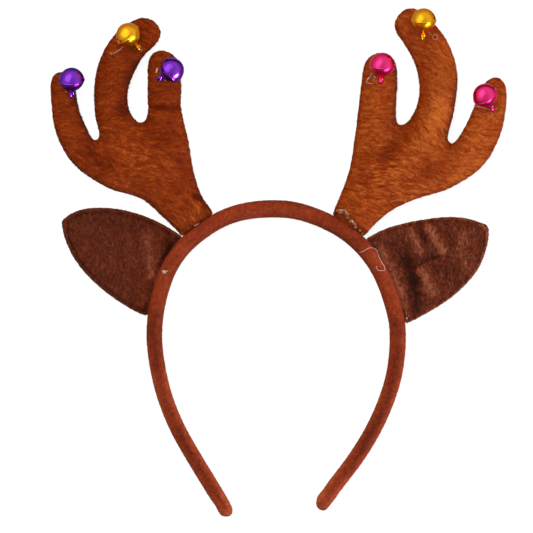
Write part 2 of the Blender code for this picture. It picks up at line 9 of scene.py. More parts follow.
import bmesh
import bpy
import numpy as np
from bpy.props import FloatProperty, FloatVectorProperty, IntProperty, PointerProperty
from mathutils import Matrix, Vector
from mathutils.bvhtree import BVHTree
from mathutils.kdtree import KDTree


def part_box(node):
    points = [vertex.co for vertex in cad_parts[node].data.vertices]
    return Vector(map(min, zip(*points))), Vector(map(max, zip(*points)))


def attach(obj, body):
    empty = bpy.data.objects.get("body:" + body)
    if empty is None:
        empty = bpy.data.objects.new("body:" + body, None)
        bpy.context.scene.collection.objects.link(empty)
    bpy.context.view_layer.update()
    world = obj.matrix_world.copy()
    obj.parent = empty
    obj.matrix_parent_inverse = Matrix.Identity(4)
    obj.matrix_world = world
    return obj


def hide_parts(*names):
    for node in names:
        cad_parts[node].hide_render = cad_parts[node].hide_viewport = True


bl_info = {
    "name": "Reindeer Antler Headband",
    "version": (1, 0, 0),
    "blender": (4, 5, 0),
    "location": "3D View > Sidebar > Headband",
    "description": "Plush antlers and ears on a felt headband, with jingle bells and a studio to show them",
    "category": "Add Mesh",
}

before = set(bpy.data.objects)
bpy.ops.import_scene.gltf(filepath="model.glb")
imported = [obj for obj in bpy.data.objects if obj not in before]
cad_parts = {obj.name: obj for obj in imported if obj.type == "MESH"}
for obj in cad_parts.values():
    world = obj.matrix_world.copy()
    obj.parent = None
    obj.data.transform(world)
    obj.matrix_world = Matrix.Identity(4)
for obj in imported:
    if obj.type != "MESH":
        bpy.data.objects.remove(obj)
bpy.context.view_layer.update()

MM = 0.001
# Heights over the table: of the headband's middle, and of what its own weight presses flat
MIDDLE = 4.5 * MM
PRESSED = 0.5 * MM
SIDES = ("left", "right")
COVERS = ("band_felt", "antler_left_cover", "antler_right_cover", "ear_left_cover", "ear_right_cover")

NAP_FLOW = {
    # where, x, y, bearing of the brushed pile (degrees from +X)
    "antler_left": (
        ("root", -39, 23, -52),
        ("neck", -50, 31, -20),
        ("low palm", -64, 39, -6),
        ("sweep", -84, 44, -16),
        ("outer foot", -79, 51, -34),
        ("palm", -66, 49, -24),
        ("inner palm", -49, 50, -8),
        ("middle foot", -75, 66, 2),
        ("middle tine", -74, 84, 12),
        ("hook", -61, 104, -25),
        ("inner tine", -52, 80, -4),
        ("outer tine", -97, 68, 8),
    ),
    "antler_right": (
        ("root", 37, 22, -30),
        ("neck", 45, 31, 4),
        ("palm", 46, 45, -4),
        ("middle palm", 59, 46, -24),
        ("outer foot", 70, 59, -52),
        ("outer palm", 76, 49, -20),
        ("sweep", 88, 45, -16),
        ("middle tine", 71, 84, -26),
        ("hook", 60, 107, -32),
        ("inner tine", 45, 80, -8),
        ("outer tine", 96, 65, -14),
    ),
    "ear_left": (
        ("all over", -75, 2, -82),
    ),
    "ear_right": (
        ("by the band", 60, 0, -66),
        ("at the tip", 84, 4, -88),
    ),
}

TONES = {
    # what shows there, x1, y1, x2, y2, reach, lighter (+) or darker (-); most rows are painted light and
    # painted shade
    "antler_left": (
        # Painted shade in the crotches, the crease, the notch and on the shaded sides; painted sheen where
        # the pile is brushed up or smooth; painted light along the lower edge
        ("shaded side of the middle tine", -66, 88, -71, 70, 3.6, -0.22),
        ("crotch of the middle tine", -71.5, 70, -70, 67, 3, -0.2),
        ("hook", -62, 106, -57, 106, 5, -0.12),
        ("crease across the inner tine", -56, 70.4, -45.5, 70.6, 1.5, -0.4),
        ("inner tine", -52, 92, -51, 74, 6.5, -0.08),
        ("shade under the inner crotch", -60, 59, -52, 56, 4, -0.16),
        ("shaded side of the outer tine", -92, 74, -85.5, 56, 2.8, -0.2),
        ("shade under the outer crotch", -87, 50, -80, 43, 4, -0.28),
        ("brushed smooth", -47, 62, -42, 38, 5, -0.1),
        ("brushed up", -74, 51, -58, 42, 8, 0.1),
        ("lower edge", -92, 46, -70, 35, 2.2, 0.1),
        ("root", -43, 19.5, -37, 24.5, 4, 0.14),
        ("notch at the root", -37.5, 29.8, -35.5, 29.2, 1.6, -0.6),
    ),
    "antler_right": (
        # Painted light on the swelling at the outer foot and along the lower edge; painted sheen where the
        # pile is brushed up; painted shade in the hollow, on the shaded side, in the outer palm and along the
        # joint at the glue
        ("brushed up at the outer foot", 66, 54, 74, 68, 5, 0.22),
        ("middle tine", 72, 70, 75, 92, 4.5, 0.15),
        ("brushed up in the palm", 55, 41, 62, 49, 4.5, 0.1),
        ("hollow under the inner crotch", 57, 58, 48, 47, 3.8, -0.2),
        ("shaded side of the middle tine", 65, 76, 60, 66, 2.5, -0.14),
        ("shade in the outer palm", 64, 40, 72, 44, 3.5, -0.12),
        ("lower edge", 60, 29.5, 92, 43, 3.2, 0.1),
        ("outer tine", 86, 48, 96, 70, 6.5, 0.15),
        ("inner tine", 42, 62, 44, 84, 5, 0.06),
        ("palm", 46, 32, 44, 48, 6, -0.05),
        ("root", 38, 23, 43, 22, 3.5, 0.03),
        ("singed at the glue", 27.5, 22.5, 38.5, 12.6, 2.2, -0.55),
    ),
    "ear_left": (
        # Painted light on the swelling beside the band; painted shade at the band and along the top
        ("painted light on the swelling beside the band", -59.5, 12, -57, -5, 3, 0.24),
        ("painted light on the swelling beside the band", -57.5, -7, -58.5, -18, 2.6, 0.14),
        ("shade at the band", -50, 9, -53.5, -21, 2, -0.34),
        ("shade along the top", -88, 20, -60, 15, 3, -0.08),
    ),
    "ear_right": (
        # Painted light on the ridges; painted shade in the folds, the crease and between the ridges
        ("ridge by the band", 46.5, 5, 55.5, -14, 2.2, 0.38),
        ("ridge by the band", 55.5, -14, 58, -22, 2.2, 0.22),
        ("ridge from the top edge", 67.5, 16, 75, 5, 1.9, 0.44),
        ("second ridge", 60.8, 14, 63.6, 5, 1.8, 0.3),
        ("ridge at the tip", 84, 12, 85, 0, 3, 0.22),
        ("lower ridge", 64.6, -4, 70.4, -13.5, 2.8, 0.38),
        ("deep fold", 53.5, 7, 58.6, 0, 2.6, -0.2),
        ("deep fold", 58.6, 0, 62, -8, 2.8, -0.3),
        ("deep fold", 61.5, -8, 62.6, -21, 2.6, -0.38),
        ("crease", 62.2, -2.2, 72.7, 3.3, 0.6, -0.22),
        ("shade between the ridges", 64.6, 17, 67, 10, 2, -0.26),
        ("shade between the ridges", 69, 2, 76, -6, 3, -0.1),
    ),
    "headband": (
        # Painted shade on the legs and in the fold at the left tip, painted light on the crown; the tips are
        # lighter
        ("left leg", -57, -30, -34, -96, 9, -0.2),
        ("right leg", 53, -34, 34, -92, 9, -0.2),
        ("right shoulder", 48, 2, 58.5, -28, 8, 0.08),
        ("crown", -22, 21, 15, 23, 7, 0.1),
        ("lighter left tip", -26, -108, -22.5, -114.5, 3.2, 0.22),
        ("fold at the left tip", -27.5, -106.5, -22.6, -113.8, 0.5, -0.35),
        ("lighter right tip", 19, -107, 24.5, -109, 3.2, 0.22),
    ),
}

CREASES = {
    # what shows there, x1, y1, x2, y2, width, lift
    "antler_left": (
        ("crease across the inner tine", -58, 70.4, -44.5, 70.6, 1.3, -0.7),
        ("notch at the root", -38.5, 29.9, -34, 29.2, 1.3, -1.1),
        ("hollow beside the middle tine's crotch", -71.5, 71, -70.5, 66, 4, -0.9),
        ("hollow under the outer crotch", -86, 50, -80, 44, 4.5, -0.8),
    ),
    "antler_right": (
        ("hollow under the inner crotch", 57, 58, 48, 47, 5, -0.9),
        ("swelling at the outer foot", 68, 56, 74, 66, 5, 0.5),
    ),
    "ear_right": (
        ("deep fold", 52, 9, 59, -0.5, 2.2, -0.5),
        ("deep fold", 59, -0.5, 63, -22, 2.4, -0.4),
        ("crease", 62, -2.4, 73, 3.4, 0.7, -0.25),
        ("ridge from the top edge", 67.7, 16, 75, 5, 2.2, 0.5),
        ("second ridge", 60.8, 14, 63.6, 5, 2, 0.5),
        ("lower ridge", 64.6, -4, 70.4, -13.5, 2.6, 0.6),
        ("ridge by the band", 47.5, 5, 57.5, -21, 2.2, 0.5),
    ),
    "ear_left": (
        ("swelling beside the band", -60, 10, -57, -16, 4, 0.4),
    ),
    "headband": (
        ("fold at the left tip", -27.5, -106.5, -22.6, -113.8, 0.6, -0.4),
    ),
}

RUFFLED = {
    # x, y, reach, how much stronger the streaks are there
    "antler_left": (
        (-64, 46, 12, 0.5),
        (-43, 25, 6, 0.4),
    ),
    "antler_right": (
        (47, 36, 11, 0.9),
        (70, 60, 6, 0.5),
        (60, 45, 8, 0.4),
    ),
}

# How far in from an edge, and how much lighter (+) or darker (-) the cloth is there: painted shade along the
# antlers' edges, painted light on the ears' hems and rims with painted shade in the groove inside them, and
# painted sheen along the legs' edges with painted shade in their middles
ANTLER_EDGE_SHADE = ((0, -0.14), (0.7, -0.06), (1.6, 0))
LEFT_EAR_EDGE = ((0, 0.04), (0.8, 0.08), (1.35, -0.20), (1.9, -0.22), (2.9, 0))
RIGHT_EAR_EDGE = ((0, 0.26), (0.7, 0.16), (1.3, -0.10), (2.4, 0))
LEG_EDGE_SHEEN = ((0, 0.50), (1, 0.30), (2.4, 0), (3.6, -0.12))
NAPS = {
    # seed, base, strength, width and length of a streak, wander, painted light and shade from the edge in,
    # dark ticks of painted shade at the seam
    "antler_left": (100, 0.46, 0.14, 0.31, 2.2, 0.8, ANTLER_EDGE_SHADE, 0.45),
    "antler_right": (120, 0.63, 0.12, 0.31, 2.2, 0.8, ANTLER_EDGE_SHADE, 0.15),
    "ear_left": (200, 0.5, 0.12, 0.3, 0.9, 0.5, LEFT_EAR_EDGE, 0.1),
    "ear_right": (220, 0.5, 0.17, 0.3, 0.9, 0.5, RIGHT_EAR_EDGE, 0.1),
}
SEAMS = {
    # how deep the puckers and the groove of the seam are
    "headband": (0, 0),
    "antler_left": (0.14, 0.4),
    "antler_right": (0.05, 0.4),
    "ear_left": (0.08, 0.1),
    "ear_right": (0.08, 0.1),
}
PULLS = {
    # where, x, y, pull along x, along y, reach
    "ear_left": (
        ("tip", -97.3, 18.2, -0.9, 0.2, 3.2),
    ),
    "ear_right": (
        ("tip", 94.4, 15.6, 0.9, 0.9, 3.2),
    ),
    "headband": (
        ("left tip", -22, -115.2, 0.45, -0.35, 2.6),
        ("left tip", -31, -112.5, 0.5, 0.35, 3.8),
        ("right tip", 18.3, -106.6, -0.5, 0.35, 2.4),
        ("right tip", 24.4, -112.2, -0.4, 0.3, 3.4),
    ),
}

STRANDS = (
    # bell or root, half thickness, points x, y along it
    ("left_middle", 0.13, ((-77.1, 95), (-75.4, 94.6), (-73.7, 95.3), (-71.8, 96.6), (-70.6, 97.9))),
    ("left_middle", 0.14, ((-72.9, 99.9), (-72.5, 98.9))),
    ("left_middle", 0.18, ((-63.8, 96.8), (-62.8, 96.1), (-61.6, 96.6))),
    ("right_outer", 0.20, ((88.4, 71.2), (91.8, 70.5), (95.4, 69.5), (98, 69.2), (99.6, 70.2))),
    ("right_inner", 0.10, ((42.2, 85.2), (40.9, 83.6), (40, 81.8), (41.3, 81.2), (43.4, 81))),
    ("right_inner", 0.30, ((43.4, 84.6), (44.1, 83.5))),
    ("right_middle", 0.10, ((67.9, 104.5), (69, 103.6), (69.8, 102.6))),
    ("left_inner", 0.42, ((-55.1, 88.2), (-55.2, 87.2), (-55.6, 85.9))),
    ("left_inner", 0.22, ((-51.9, 82.9), (-51.2, 82.5))),
    ("left_inner", 0.20, ((-46.1, 82.7), (-45.5, 82.5))),
    ("left_outer", 0.30, ((-96.8, 77.6), (-96.2, 77.3))),
    ("root_left", 0.22, ((-38.2, 16.5), (-37.1, 16.9), (-36, 17.5))),
    ("root_right", 0.22, ((27.6, 23.9), (28.6, 23.6), (29.4, 24.1))),
    ("root_right", 0.20, ((30.2, 23.2), (30.9, 22.8), (30.8, 22))),
    ("root_right", 0.20, ((31.2, 20.6), (31.9, 20.1))),
    ("root_right", 0.22, ((33, 19.2), (33.9, 18.7), (33.6, 18))),
    ("root_right", 0.18, ((34.9, 16.6), (35.4, 15.9))),
)
GLUE_RINGS = (
    # bell, x, y, radius, half thickness
    ("right_middle", 71.2, 102.2, 1.15, 0.11),
)
GLUE_LUMPS = (
    # root, x, y, radius, height over the plush
    ("root_right", 27, 23.4, 0.9, 0.2),
    ("root_right", 28.4, 22.6, 1.2, 0.3),
    ("root_right", 30, 23.4, 1, 0.2),
    ("root_right", 31.2, 22, 1.1, 0.4),
    ("root_right", 31.4, 20.2, 0.8, 0.3),
    ("root_right", 33.2, 18.6, 1.2, 0.4),
    ("root_right", 34.6, 17.4, 1, 0.3),
    ("root_right", 35, 15.8, 0.8, 0.3),
    ("root_right", 37, 14.4, 0.8, 0.2),
    ("root_right", 38.2, 13, 0.6, 0.2),
    ("root_left", -37.2, 17.2, 0.5, 0.1),
)
LINT = (
    # what, half thickness, points x, y along it
    ("fluff by the left ear", 0.14, ((-52.9, -4.3), (-52, -3.8), (-51.2, -4.3), (-50.2, -3.9))),
    ("fluff by the left ear", 0.14, ((-52.7, -4.6), (-51.8, -4.4), (-50.9, -4.7))),
    ("fluff by the left ear", 0.12, ((-52.6, -5), (-51.6, -4.9), (-51, -5.3))),
    ("fluff by the right ear", 0.14, ((58.1, -25), (58.6, -25.5), (58.4, -26))),
    ("fluff by the right ear", 0.12, ((57.9, -25.6), (58.5, -25.9))),
    ("thread on the right", 0.07, (
        (36.6, 4.3), (38.6, 4.9), (40.4, 6.1), (42.2, 6.5), (44.2, 5.9), (45.3, 3.6), (46.3, 1), (48.2, -2.2),
        (48.3, -3.6), (46.4, -3.9), (44.9, -3.4), (44.6, -1.8),
    )),
)

BELLS = (
    # bell, dye, bearing of the loop, its dip, turn of the slot about it (degrees)
    ("left_outer", "purple", -90, 29, 6),
    ("left_middle", "gold", -49, 20, -14),
    ("left_inner", "purple", -146, 31, -24),
    ("right_inner", "pink", -94, 24, 18),
    ("right_middle", "gold", -91, 16, 24),
    ("right_outer", "pink", -57, 33, 20),
)


def linear(code):
    """An sRGB hex colour as linear red, green, blue and alpha."""
    channels = [int(code[i : i + 2], 16) / 255 for i in (0, 2, 4)]
    return (*(c / 12.92 if c <= 0.04045 else ((c + 0.055) / 1.055) ** 2.4 for c in channels), 1.0)


def colour_property(name, description, code):
    return FloatVectorProperty(
        name=name, description=description, subtype="COLOR", size=4, min=0, max=1, default=linear(code)
    )


def length_property(name, description, millimetres):
    return FloatProperty(
        name=name, description=description, unit="LENGTH", min=0, precision=5, default=millimetres * MM
    )


def count_property(name, description, count):
    return IntProperty(name=name, description=description, min=0, default=count)


def power_property(name, description, power):
    return FloatProperty(name=name, description=description, min=0, default=power)


class PlushSettings(bpy.types.PropertyGroup):
    antler_pile: length_property("Antler pile", "Length of the antlers' brushed pile", 1.25)
    ear_pile: length_property("Ear pile", "Length of the ears' cropped pile", 0.8)
    hair_width: length_property("Tuft width", "Width of a drawn tuft of pile at its root", 0.21)
    antler_hairs: count_property("Antler tufts", "Tufts of pile on each antler", 43000)
    ear_hairs: count_property("Ear tufts", "Tufts of pile on each ear", 20000)
    antler_dark: colour_property("Antler, dark", "Pile brushed away from the light", "6a1f02")
    antler_middle: colour_property("Antler", "Pile of the antlers", "983808")
    antler_light: colour_property("Antler, light", "Pile brushed towards the light", "d2742e")
    # The ears' dark shade carries painted shade in their folds, and their light shade painted light on their
    # ridges
    ear_dark: colour_property("Ear, dark", "Pile in the folds of an ear", "2e0d05")
    ear_middle: colour_property("Ear", "Pile of the ears", "6a2b16")
    ear_light: colour_property("Ear, light", "Pile on the ridges of an ear", "a86244")


class FeltSettings(bpy.types.PropertyGroup):
    fibre_length: length_property("Fibre length", "Length of a loose fibre on the felt", 0.9)
    fibre_width: length_property("Fibre width", "Width of a drawn fibre", 0.13)
    fibres: count_property("Fibres", "Loose fibres on the felt", 40000)
    # The dark shade also carries painted shade on the legs and in the fold, and the light one painted sheen
    # along the legs' edges and painted light on the crown
    dark: colour_property("Felt, dark", "Felt in its hollows", "561d0c")
    middle: colour_property("Felt", "Felt of the band", "8c3317")
    light: colour_property("Felt, light", "Pale felt, and its painted sheen", "ad5330")


class BellSettings(bpy.types.PropertyGroup):
    wall: length_property("Wall", "Thickness of the bells' metal", 0.4)
    slot_width: length_property("Slot width", "Width of the sound slot", 0.8)
    hole_radius: length_property("Hole radius", "Radius of the holes at the slot's ends", 0.95)
    purple: colour_property("Purple", "Dye of the purple bells", "7a2bbc")
    gold: colour_property("Gold", "Dye of the gold bells", "f0a303")
    pink: colour_property("Pink", "Dye of the pink bells", "ee2a78")


class StudioSettings(bpy.types.PropertyGroup):
    camera_height: length_property("Camera height", "Height of the camera over the table", 2500.0)
    view_width: length_property("View width", "Width that the picture takes in at the object", 242.5)
    floor: colour_property("Floor", "Colour of the table", "808080")
    key_power: power_property("Key light", "Power of the key light", 42.0)
    fill_power: power_property("Fill light", "Power of the overhead light", 8.5)
    side_power: power_property("Side light", "Power of the low light", 13.0)
    window_power: power_property("Window light", "Power of the bells' soft glint", 3.2)


# Small tools


def feed(tree, socket, value):
    """Links a socket to another one, or sets its value."""
    if isinstance(value, bpy.types.NodeSocket):
        tree.links.new(value, socket)
    else:
        socket.default_value = value


def add_node(tree, kind, settings=None, **inputs):
    """Adds a node with its settings, and its sockets' values or links; input names have _ for each space."""
    node = tree.nodes.new(kind)
    for name, value in (settings or {}).items():
        setattr(node, name, value)
    for name, value in inputs.items():
        socket = next(s for s in node.inputs if s.name.replace(" ", "_") == name and s.enabled)
        feed(tree, socket, value)
    return node


def add_maths(tree, operation, *values):
    """The result of a Math node, from values or links in the order of its sockets."""
    node = add_node(tree, "ShaderNodeMath", {"operation": operation})
    for socket, value in zip(node.inputs, values):
        feed(tree, socket, value)
    return node.outputs[0]


def add_noise(tree, size, detail, roughness=0.5):
    """Noise in a piece's own space, with features of this size."""
    place = add_node(tree, "ShaderNodeTexCoord").outputs["Object"]
    look = {"Scale": 1 / size, "Detail": detail, "Roughness": roughness}
    return add_node(tree, "ShaderNodeTexNoise", Vector=place, **look).outputs["Fac"]


def add_bump(tree, shader, strength, depth, height):
    bump = add_node(tree, "ShaderNodeBump", Strength=strength, Distance=depth, Height=height)
    tree.links.new(bump.outputs["Normal"], shader.inputs["Normal"])


def new_material(name, **sockets):
    """A principled material with these values on its shader's own sockets."""
    made = bpy.data.materials.new(name)
    made.use_nodes = True
    tree = made.node_tree
    shader = tree.nodes["Principled BSDF"]
    for socket, value in sockets.items():
        shader.inputs[socket.replace("_", " ")].default_value = value
    return made, tree, shader


def add_ramp(tree, factor, stops):
    """A colour ramp through (place, colour) stops."""
    node = add_node(tree, "ShaderNodeValToRGB", Fac=factor)
    ramp = node.color_ramp
    ramp.elements[0].position, ramp.elements[0].color = stops[0]
    ramp.elements[1].position, ramp.elements[1].color = stops[-1]
    for place, colour in stops[1:-1]:
        ramp.elements.new(place).color = colour
    return node.outputs["Color"]


def link(name, data):
    obj = bpy.data.objects.new(name, data)
    bpy.context.scene.collection.objects.link(obj)
    return obj


def add_piece(name, mesh, material):
    """A piece of the headband, smooth and of one material."""
    obj = link(name, mesh)
    mesh.materials.clear()
    mesh.materials.append(material)
    mesh.shade_smooth()
    return obj


def bmesh_of(*meshes):
    bm = bmesh.new()
    for mesh in meshes:
        bm.from_mesh(mesh)
    return bm


def mesh_of(name, bm):
    """The bmesh as a mesh, after which the bmesh is freed."""
    mesh = bpy.data.meshes.new(name)
    bm.to_mesh(mesh)
    bm.free()
    return mesh


def mesh_from(name, verts, faces):
    mesh = bpy.data.meshes.new(name)
    mesh.from_pydata(verts, [], faces)
    mesh.validate()
    bm = bmesh_of(mesh)
    bmesh.ops.recalc_face_normals(bm, faces=bm.faces)
    bm.to_mesh(mesh)
    bm.free()
    return mesh


def simple_mesh(name, make, place, turn, **sizes):
    """One of bmesh's own shapes, turned or stretched by a matrix and then set in its place."""
    bm = bmesh.new()
    make(bm, matrix=Matrix.Translation(place) @ turn, **sizes)
    return mesh_of(name, bm)


def add_modifier(obj, kind, **settings):
    modifier = obj.modifiers.new(kind.title(), kind)
    for name, value in settings.items():
        setattr(modifier, name, value)
    return modifier


def apply_modifiers(obj):
    """Makes the object's evaluated shape its mesh."""
    graph = bpy.context.evaluated_depsgraph_get()
    mesh = bpy.data.meshes.new_from_object(
        obj.evaluated_get(graph), preserve_all_data_layers=True, depsgraph=graph
    )
    obj.modifiers.clear()
    obj.data = mesh
    mesh.name = obj.name
    return obj


def read_points(mesh):
    points = np.empty(len(mesh.vertices) * 3, np.float32)
    mesh.vertices.foreach_get("co", points)
    return points.reshape(-1, 3).astype(float)


def write_points(mesh, points):
    mesh.vertices.foreach_set("co", np.ascontiguousarray(points, np.float32).ravel())
    mesh.update()


def read_normals(mesh):
    normals = np.empty(len(mesh.vertices) * 3, np.float32)
    mesh.vertex_normals.foreach_get("vector", normals)
    return normals.reshape(-1, 3).astype(float)


def write_attribute(mesh, name, values):
    kind, field = ("FLOAT_VECTOR", "vector") if values.ndim == 2 else ("FLOAT", "value")
    attribute = mesh.attributes.new(name, kind, "POINT")
    attribute.data.foreach_set(field, np.ascontiguousarray(values, np.float32).ravel())


def smoothstep(values):
    values = np.clip(values, 0, 1)
    return values * values * (3 - 2 * values)


def settle(mesh):
    """Presses flat what would sink into the table, and keeps the order that it lies in."""
    points = read_points(mesh)
    low = points[:, 2] < PRESSED
    points[low, 2] = PRESSED * np.exp(points[low, 2] / PRESSED - 1)
    write_points(mesh, points)


def traced(rows, points):
    """What the rows of a table add at points: each is strongest along a line, and fades with its reach."""
    total = np.zeros(len(points))
    for _, x1, y1, x2, y2, reach, amount in rows:
        start = np.array([x1, y1])
        step = np.array([x2, y2]) - start
        length = max(float(step @ step), 1e-9)
        along = np.clip((points - start) @ step / length, 0, 1)
        away = np.linalg.norm(points - start - along[:, None] * step, axis=1)
        total += amount * np.exp(-((away / reach) ** 2))
    return total


def nearness(points, x, y, reach):
    """1 at a place, and less away from it."""
    return np.exp(-(((points - (x, y)) ** 2).sum(axis=1)) / reach**2)


NOISE_CELLS = 256


def plane_noise(points, cell, seed):
    """Smooth random values from 0 to 1 over the plane, one to each cell."""
    grid = np.random.default_rng(seed).random((NOISE_CELLS, NOISE_CELLS))
    scaled = points / cell
    low = np.floor(scaled).astype(int)
    part = smoothstep(scaled - low)
    x0, y0 = low[:, 0] % NOISE_CELLS, low[:, 1] % NOISE_CELLS
    x1, y1 = (x0 + 1) % NOISE_CELLS, (y0 + 1) % NOISE_CELLS
    near = grid[x0, y0] * (1 - part[:, 0]) + grid[x1, y0] * part[:, 0]
    far = grid[x0, y1] * (1 - part[:, 0]) + grid[x1, y1] * part[:, 0]
    return near * (1 - part[:, 1]) + far * part[:, 1]


# Covers of plush and felt

# Lengths in millimetres: how far a row of NAP_FLOW reaches, the cells of its wander, the step along an
# outline, and how far off the back's streaks are read, so that they differ from the front's
FLOW_REACH = 3.0
WANDER_CELL = 3.5
OUTLINE_STEP = 0.2
BACK_APART = 300.0
# Steps each way along a streak, and steps each way that give an outline's direction
STREAK_STEPS = 5
OUTLINE_SPAN = 4
# Puckers along a seam: how far in their dark ticks of painted shade and their valleys reach, and how far
# apart they are
PUCKER_PITCH = 2.3
TICK_REACH = 2.6
PUCKER_REACH = 2.0
# The groove of a seam: its half height and how far in it reaches
GROOVE_HEIGHT = 0.45
GROOVE_REACH = 1.2


def flow_of(piece, wander, seed):
    """A function that gives the way the pile is brushed at points in the plane, in millimetres."""
    rows = NAP_FLOW[piece]
    places = np.array([row[1:3] for row in rows])
    turns = np.radians([row[3] for row in rows])

    def flow(points):
        apart = np.linalg.norm(points[:, None] - places[None], axis=2)
        weight = 1 / (apart**2 + FLOW_REACH**2) ** 1.5
        x, y = weight @ np.cos(turns), weight @ np.sin(turns)
        angle = np.arctan2(y, x) + wander * (plane_noise(points + 500, WANDER_CELL, seed) - 0.5)
        return np.column_stack([np.cos(angle), np.sin(angle)])

    return flow


def streaks(points, flow, width, length, seed):
    """Streaks that follow the flow, with a mean of 0 and a spread of about 1."""
    total = plane_noise(points, width, seed)
    for way in (-1, 1):
        place = points.copy()
        for _ in range(STREAK_STEPS):
            place = place + way * flow(place) * length / (2 * STREAK_STEPS)
            total = total + plane_noise(place, width, seed)
    spread = max(total.std(), 1e-6)
    return (total - total.mean()) / spread


class Outline:
    """The outline of a cover at its middle height, in millimetres in the plane."""

    def __init__(self, mesh):
        heights = read_points(mesh)[:, 2]
        self.height = (heights.min() + heights.max()) / 2
        loop = self.longest_loop(mesh)
        loop = np.vstack([loop, loop[:1]])
        around = np.concatenate([[0], np.cumsum(np.linalg.norm(np.diff(loop, axis=0), axis=1))])
        self.around = np.arange(0, around[-1], OUTLINE_STEP)
        self.points = np.column_stack([np.interp(self.around, around, loop[:, axis]) for axis in (0, 1)])
        along = np.roll(self.points, -OUTLINE_SPAN, axis=0) - np.roll(self.points, OUTLINE_SPAN, axis=0)
        along /= np.maximum(np.linalg.norm(along, axis=1), 1e-6)[:, None]
        x, y = self.points.T
        turned = np.sign((x * np.roll(y, -1) - np.roll(x, -1) * y).sum())
        self.outward = turned * np.column_stack([along[:, 1], -along[:, 0]])
        self.tree = KDTree(len(self.points))
        for index, (x, y) in enumerate(self.points):
            self.tree.insert((x, y, 0), index)
        self.tree.balance()

    def longest_loop(self, mesh):
        bm = bmesh_of(mesh)
        cut = bmesh.ops.bisect_plane(
            bm, geom=[*bm.verts, *bm.edges, *bm.faces], plane_co=(0, 0, self.height), plane_no=(0, 0, 1)
        )
        links = {}
        for edge in cut["geom_cut"]:
            if isinstance(edge, bmesh.types.BMEdge):
                for here, there in (edge.verts, reversed(edge.verts)):
                    links.setdefault(here, []).append(there)
        longest, left = [], dict.fromkeys(links)
        while left:
            here, chain = next(iter(left)), []
            while here is not None:
                left.pop(here)
                chain.append(here)
                here = next((vert for vert in links[here] if vert in left), None)
            longest = max(longest, chain, key=len)
        loop = np.array([tuple(vert.co)[:2] for vert in longest]) / MM
        bm.free()
        return loop

    def near(self, flat):
        """How far in from the outline each place is, how far round it, and which way is outward there."""
        found = [self.tree.find((x, y, 0)) for x, y in flat]
        index = np.array([row[1] for row in found])
        away = np.array([row[2] for row in found])
        return away, self.around[index], self.outward[index]


def puckers(around, seed):
    """Narrow valleys, from 0 to 1, at uneven steps round an outline."""
    phase = around / PUCKER_PITCH + 0.5 * np.sin(around / 3.7 + seed) + 0.3 * np.sin(around / 1.9)
    return (0.5 + 0.5 * np.cos(2 * math.pi * phase)) ** 2.5


class Nap:
    """How one piece's pile is brushed, and how light it is at each place."""

    def __init__(self, piece, outline):
        self.piece, self.outline = piece, outline
        self.seed, self.base, self.strength, self.width, self.length, *rest = NAPS[piece]
        wander, self.edge, self.ticks = rest
        self.flow = flow_of(piece, wander, self.seed)

    def tint(self, places, up):
        """How light the pile is, from 0 to 1: fine and broad streaks that are partly painted sheen, the
        listed tones, mostly painted light and shade, and painted light and shade along the edge and at the
        seam.
        """
        home = places[:, :2] / MM
        apart = np.where(up > 0, 0.0, BACK_APART)[:, None]

        def flow(points):
            return self.flow(points - (points[:, :1] > BACK_APART / 2) * BACK_APART)

        small = streaks(home + apart, flow, self.width, self.length, self.seed + 1)
        broad = streaks(home + apart, flow, 2.8 * self.width, 1.8 * self.length, self.seed + 2)
        rough = np.ones(len(home))
        for x, y, reach, amount in RUFFLED.get(self.piece, ()):
            rough += amount * nearness(home, x, y, reach)
        away, around, outward = self.outline.near(home)
        # Painted shade along the antlers' edges, painted light and shade on the ears' hems, and dark ticks of
        # painted shade in the puckers of edges that face left
        rim = np.interp(away, *zip(*self.edge))
        inward = np.clip(1 - away / TICK_REACH, 0, 1) * np.clip(0.25 - outward[:, 0], 0, 1)
        value = self.base + self.strength * rough * (0.8 * small + 0.35 * broad)
        value = value + traced(TONES[self.piece], home) * (up > -0.2) + rim
        return np.clip(value - self.ticks * puckers(around, self.seed) * inward, 0, 1)


def press_creases(cover, piece, outline):
    """Presses the creases into a cover's front, puckers its edge, and draws its seam in."""
    points, ups = read_points(cover.data), read_normals(cover.data)
    flat, height = points[:, :2] / MM, (points[:, 2] - outline.height) / MM
    lift = traced(CREASES.get(piece, ()), flat)
    points[:, 2] += lift * MM * np.clip(2 * ups[:, 2], 0, 1)
    for _, x, y, along, up, reach in PULLS.get(piece, ()):
        points[:, :2] += nearness(flat, x, y, reach)[:, None] * np.array([along, up]) * MM
    away, around, outward = outline.near(flat)
    pucker, groove = SEAMS[piece]
    drawn = pucker * puckers(around, outline.height) * np.clip(1 - away / PUCKER_REACH, 0, 1)
    drawn += groove * np.exp(-((height / GROOVE_HEIGHT) ** 2)) * np.clip(1 - away / GROOVE_REACH, 0, 1)
    points[:, :2] -= outward * drawn[:, None] * MM
    write_points(cover.data, points)


def cover_from(node, name, voxel, passes, swell, material):
    """A soft cover in the shape of a frame node: its flat facets rounded, and its volume kept."""
    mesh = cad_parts[node].data.copy()
    bm = bmesh_of(mesh)
    bmesh.ops.remove_doubles(bm, verts=bm.verts, dist=1e-6)
    bm.to_mesh(mesh)
    bm.free()
    obj = add_piece(name, mesh, material)
    add_modifier(obj, "SUBSURF", levels=1, render_levels=1)
    add_modifier(obj, "REMESH", mode="VOXEL", voxel_size=voxel)
    add_modifier(obj, "SMOOTH", factor=0.5, iterations=passes)
    apply_modifiers(obj)
    write_points(obj.data, read_points(obj.data) + read_normals(obj.data) * swell)
    settle(obj.data)
    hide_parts(node)
    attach(obj, "root")
    return obj


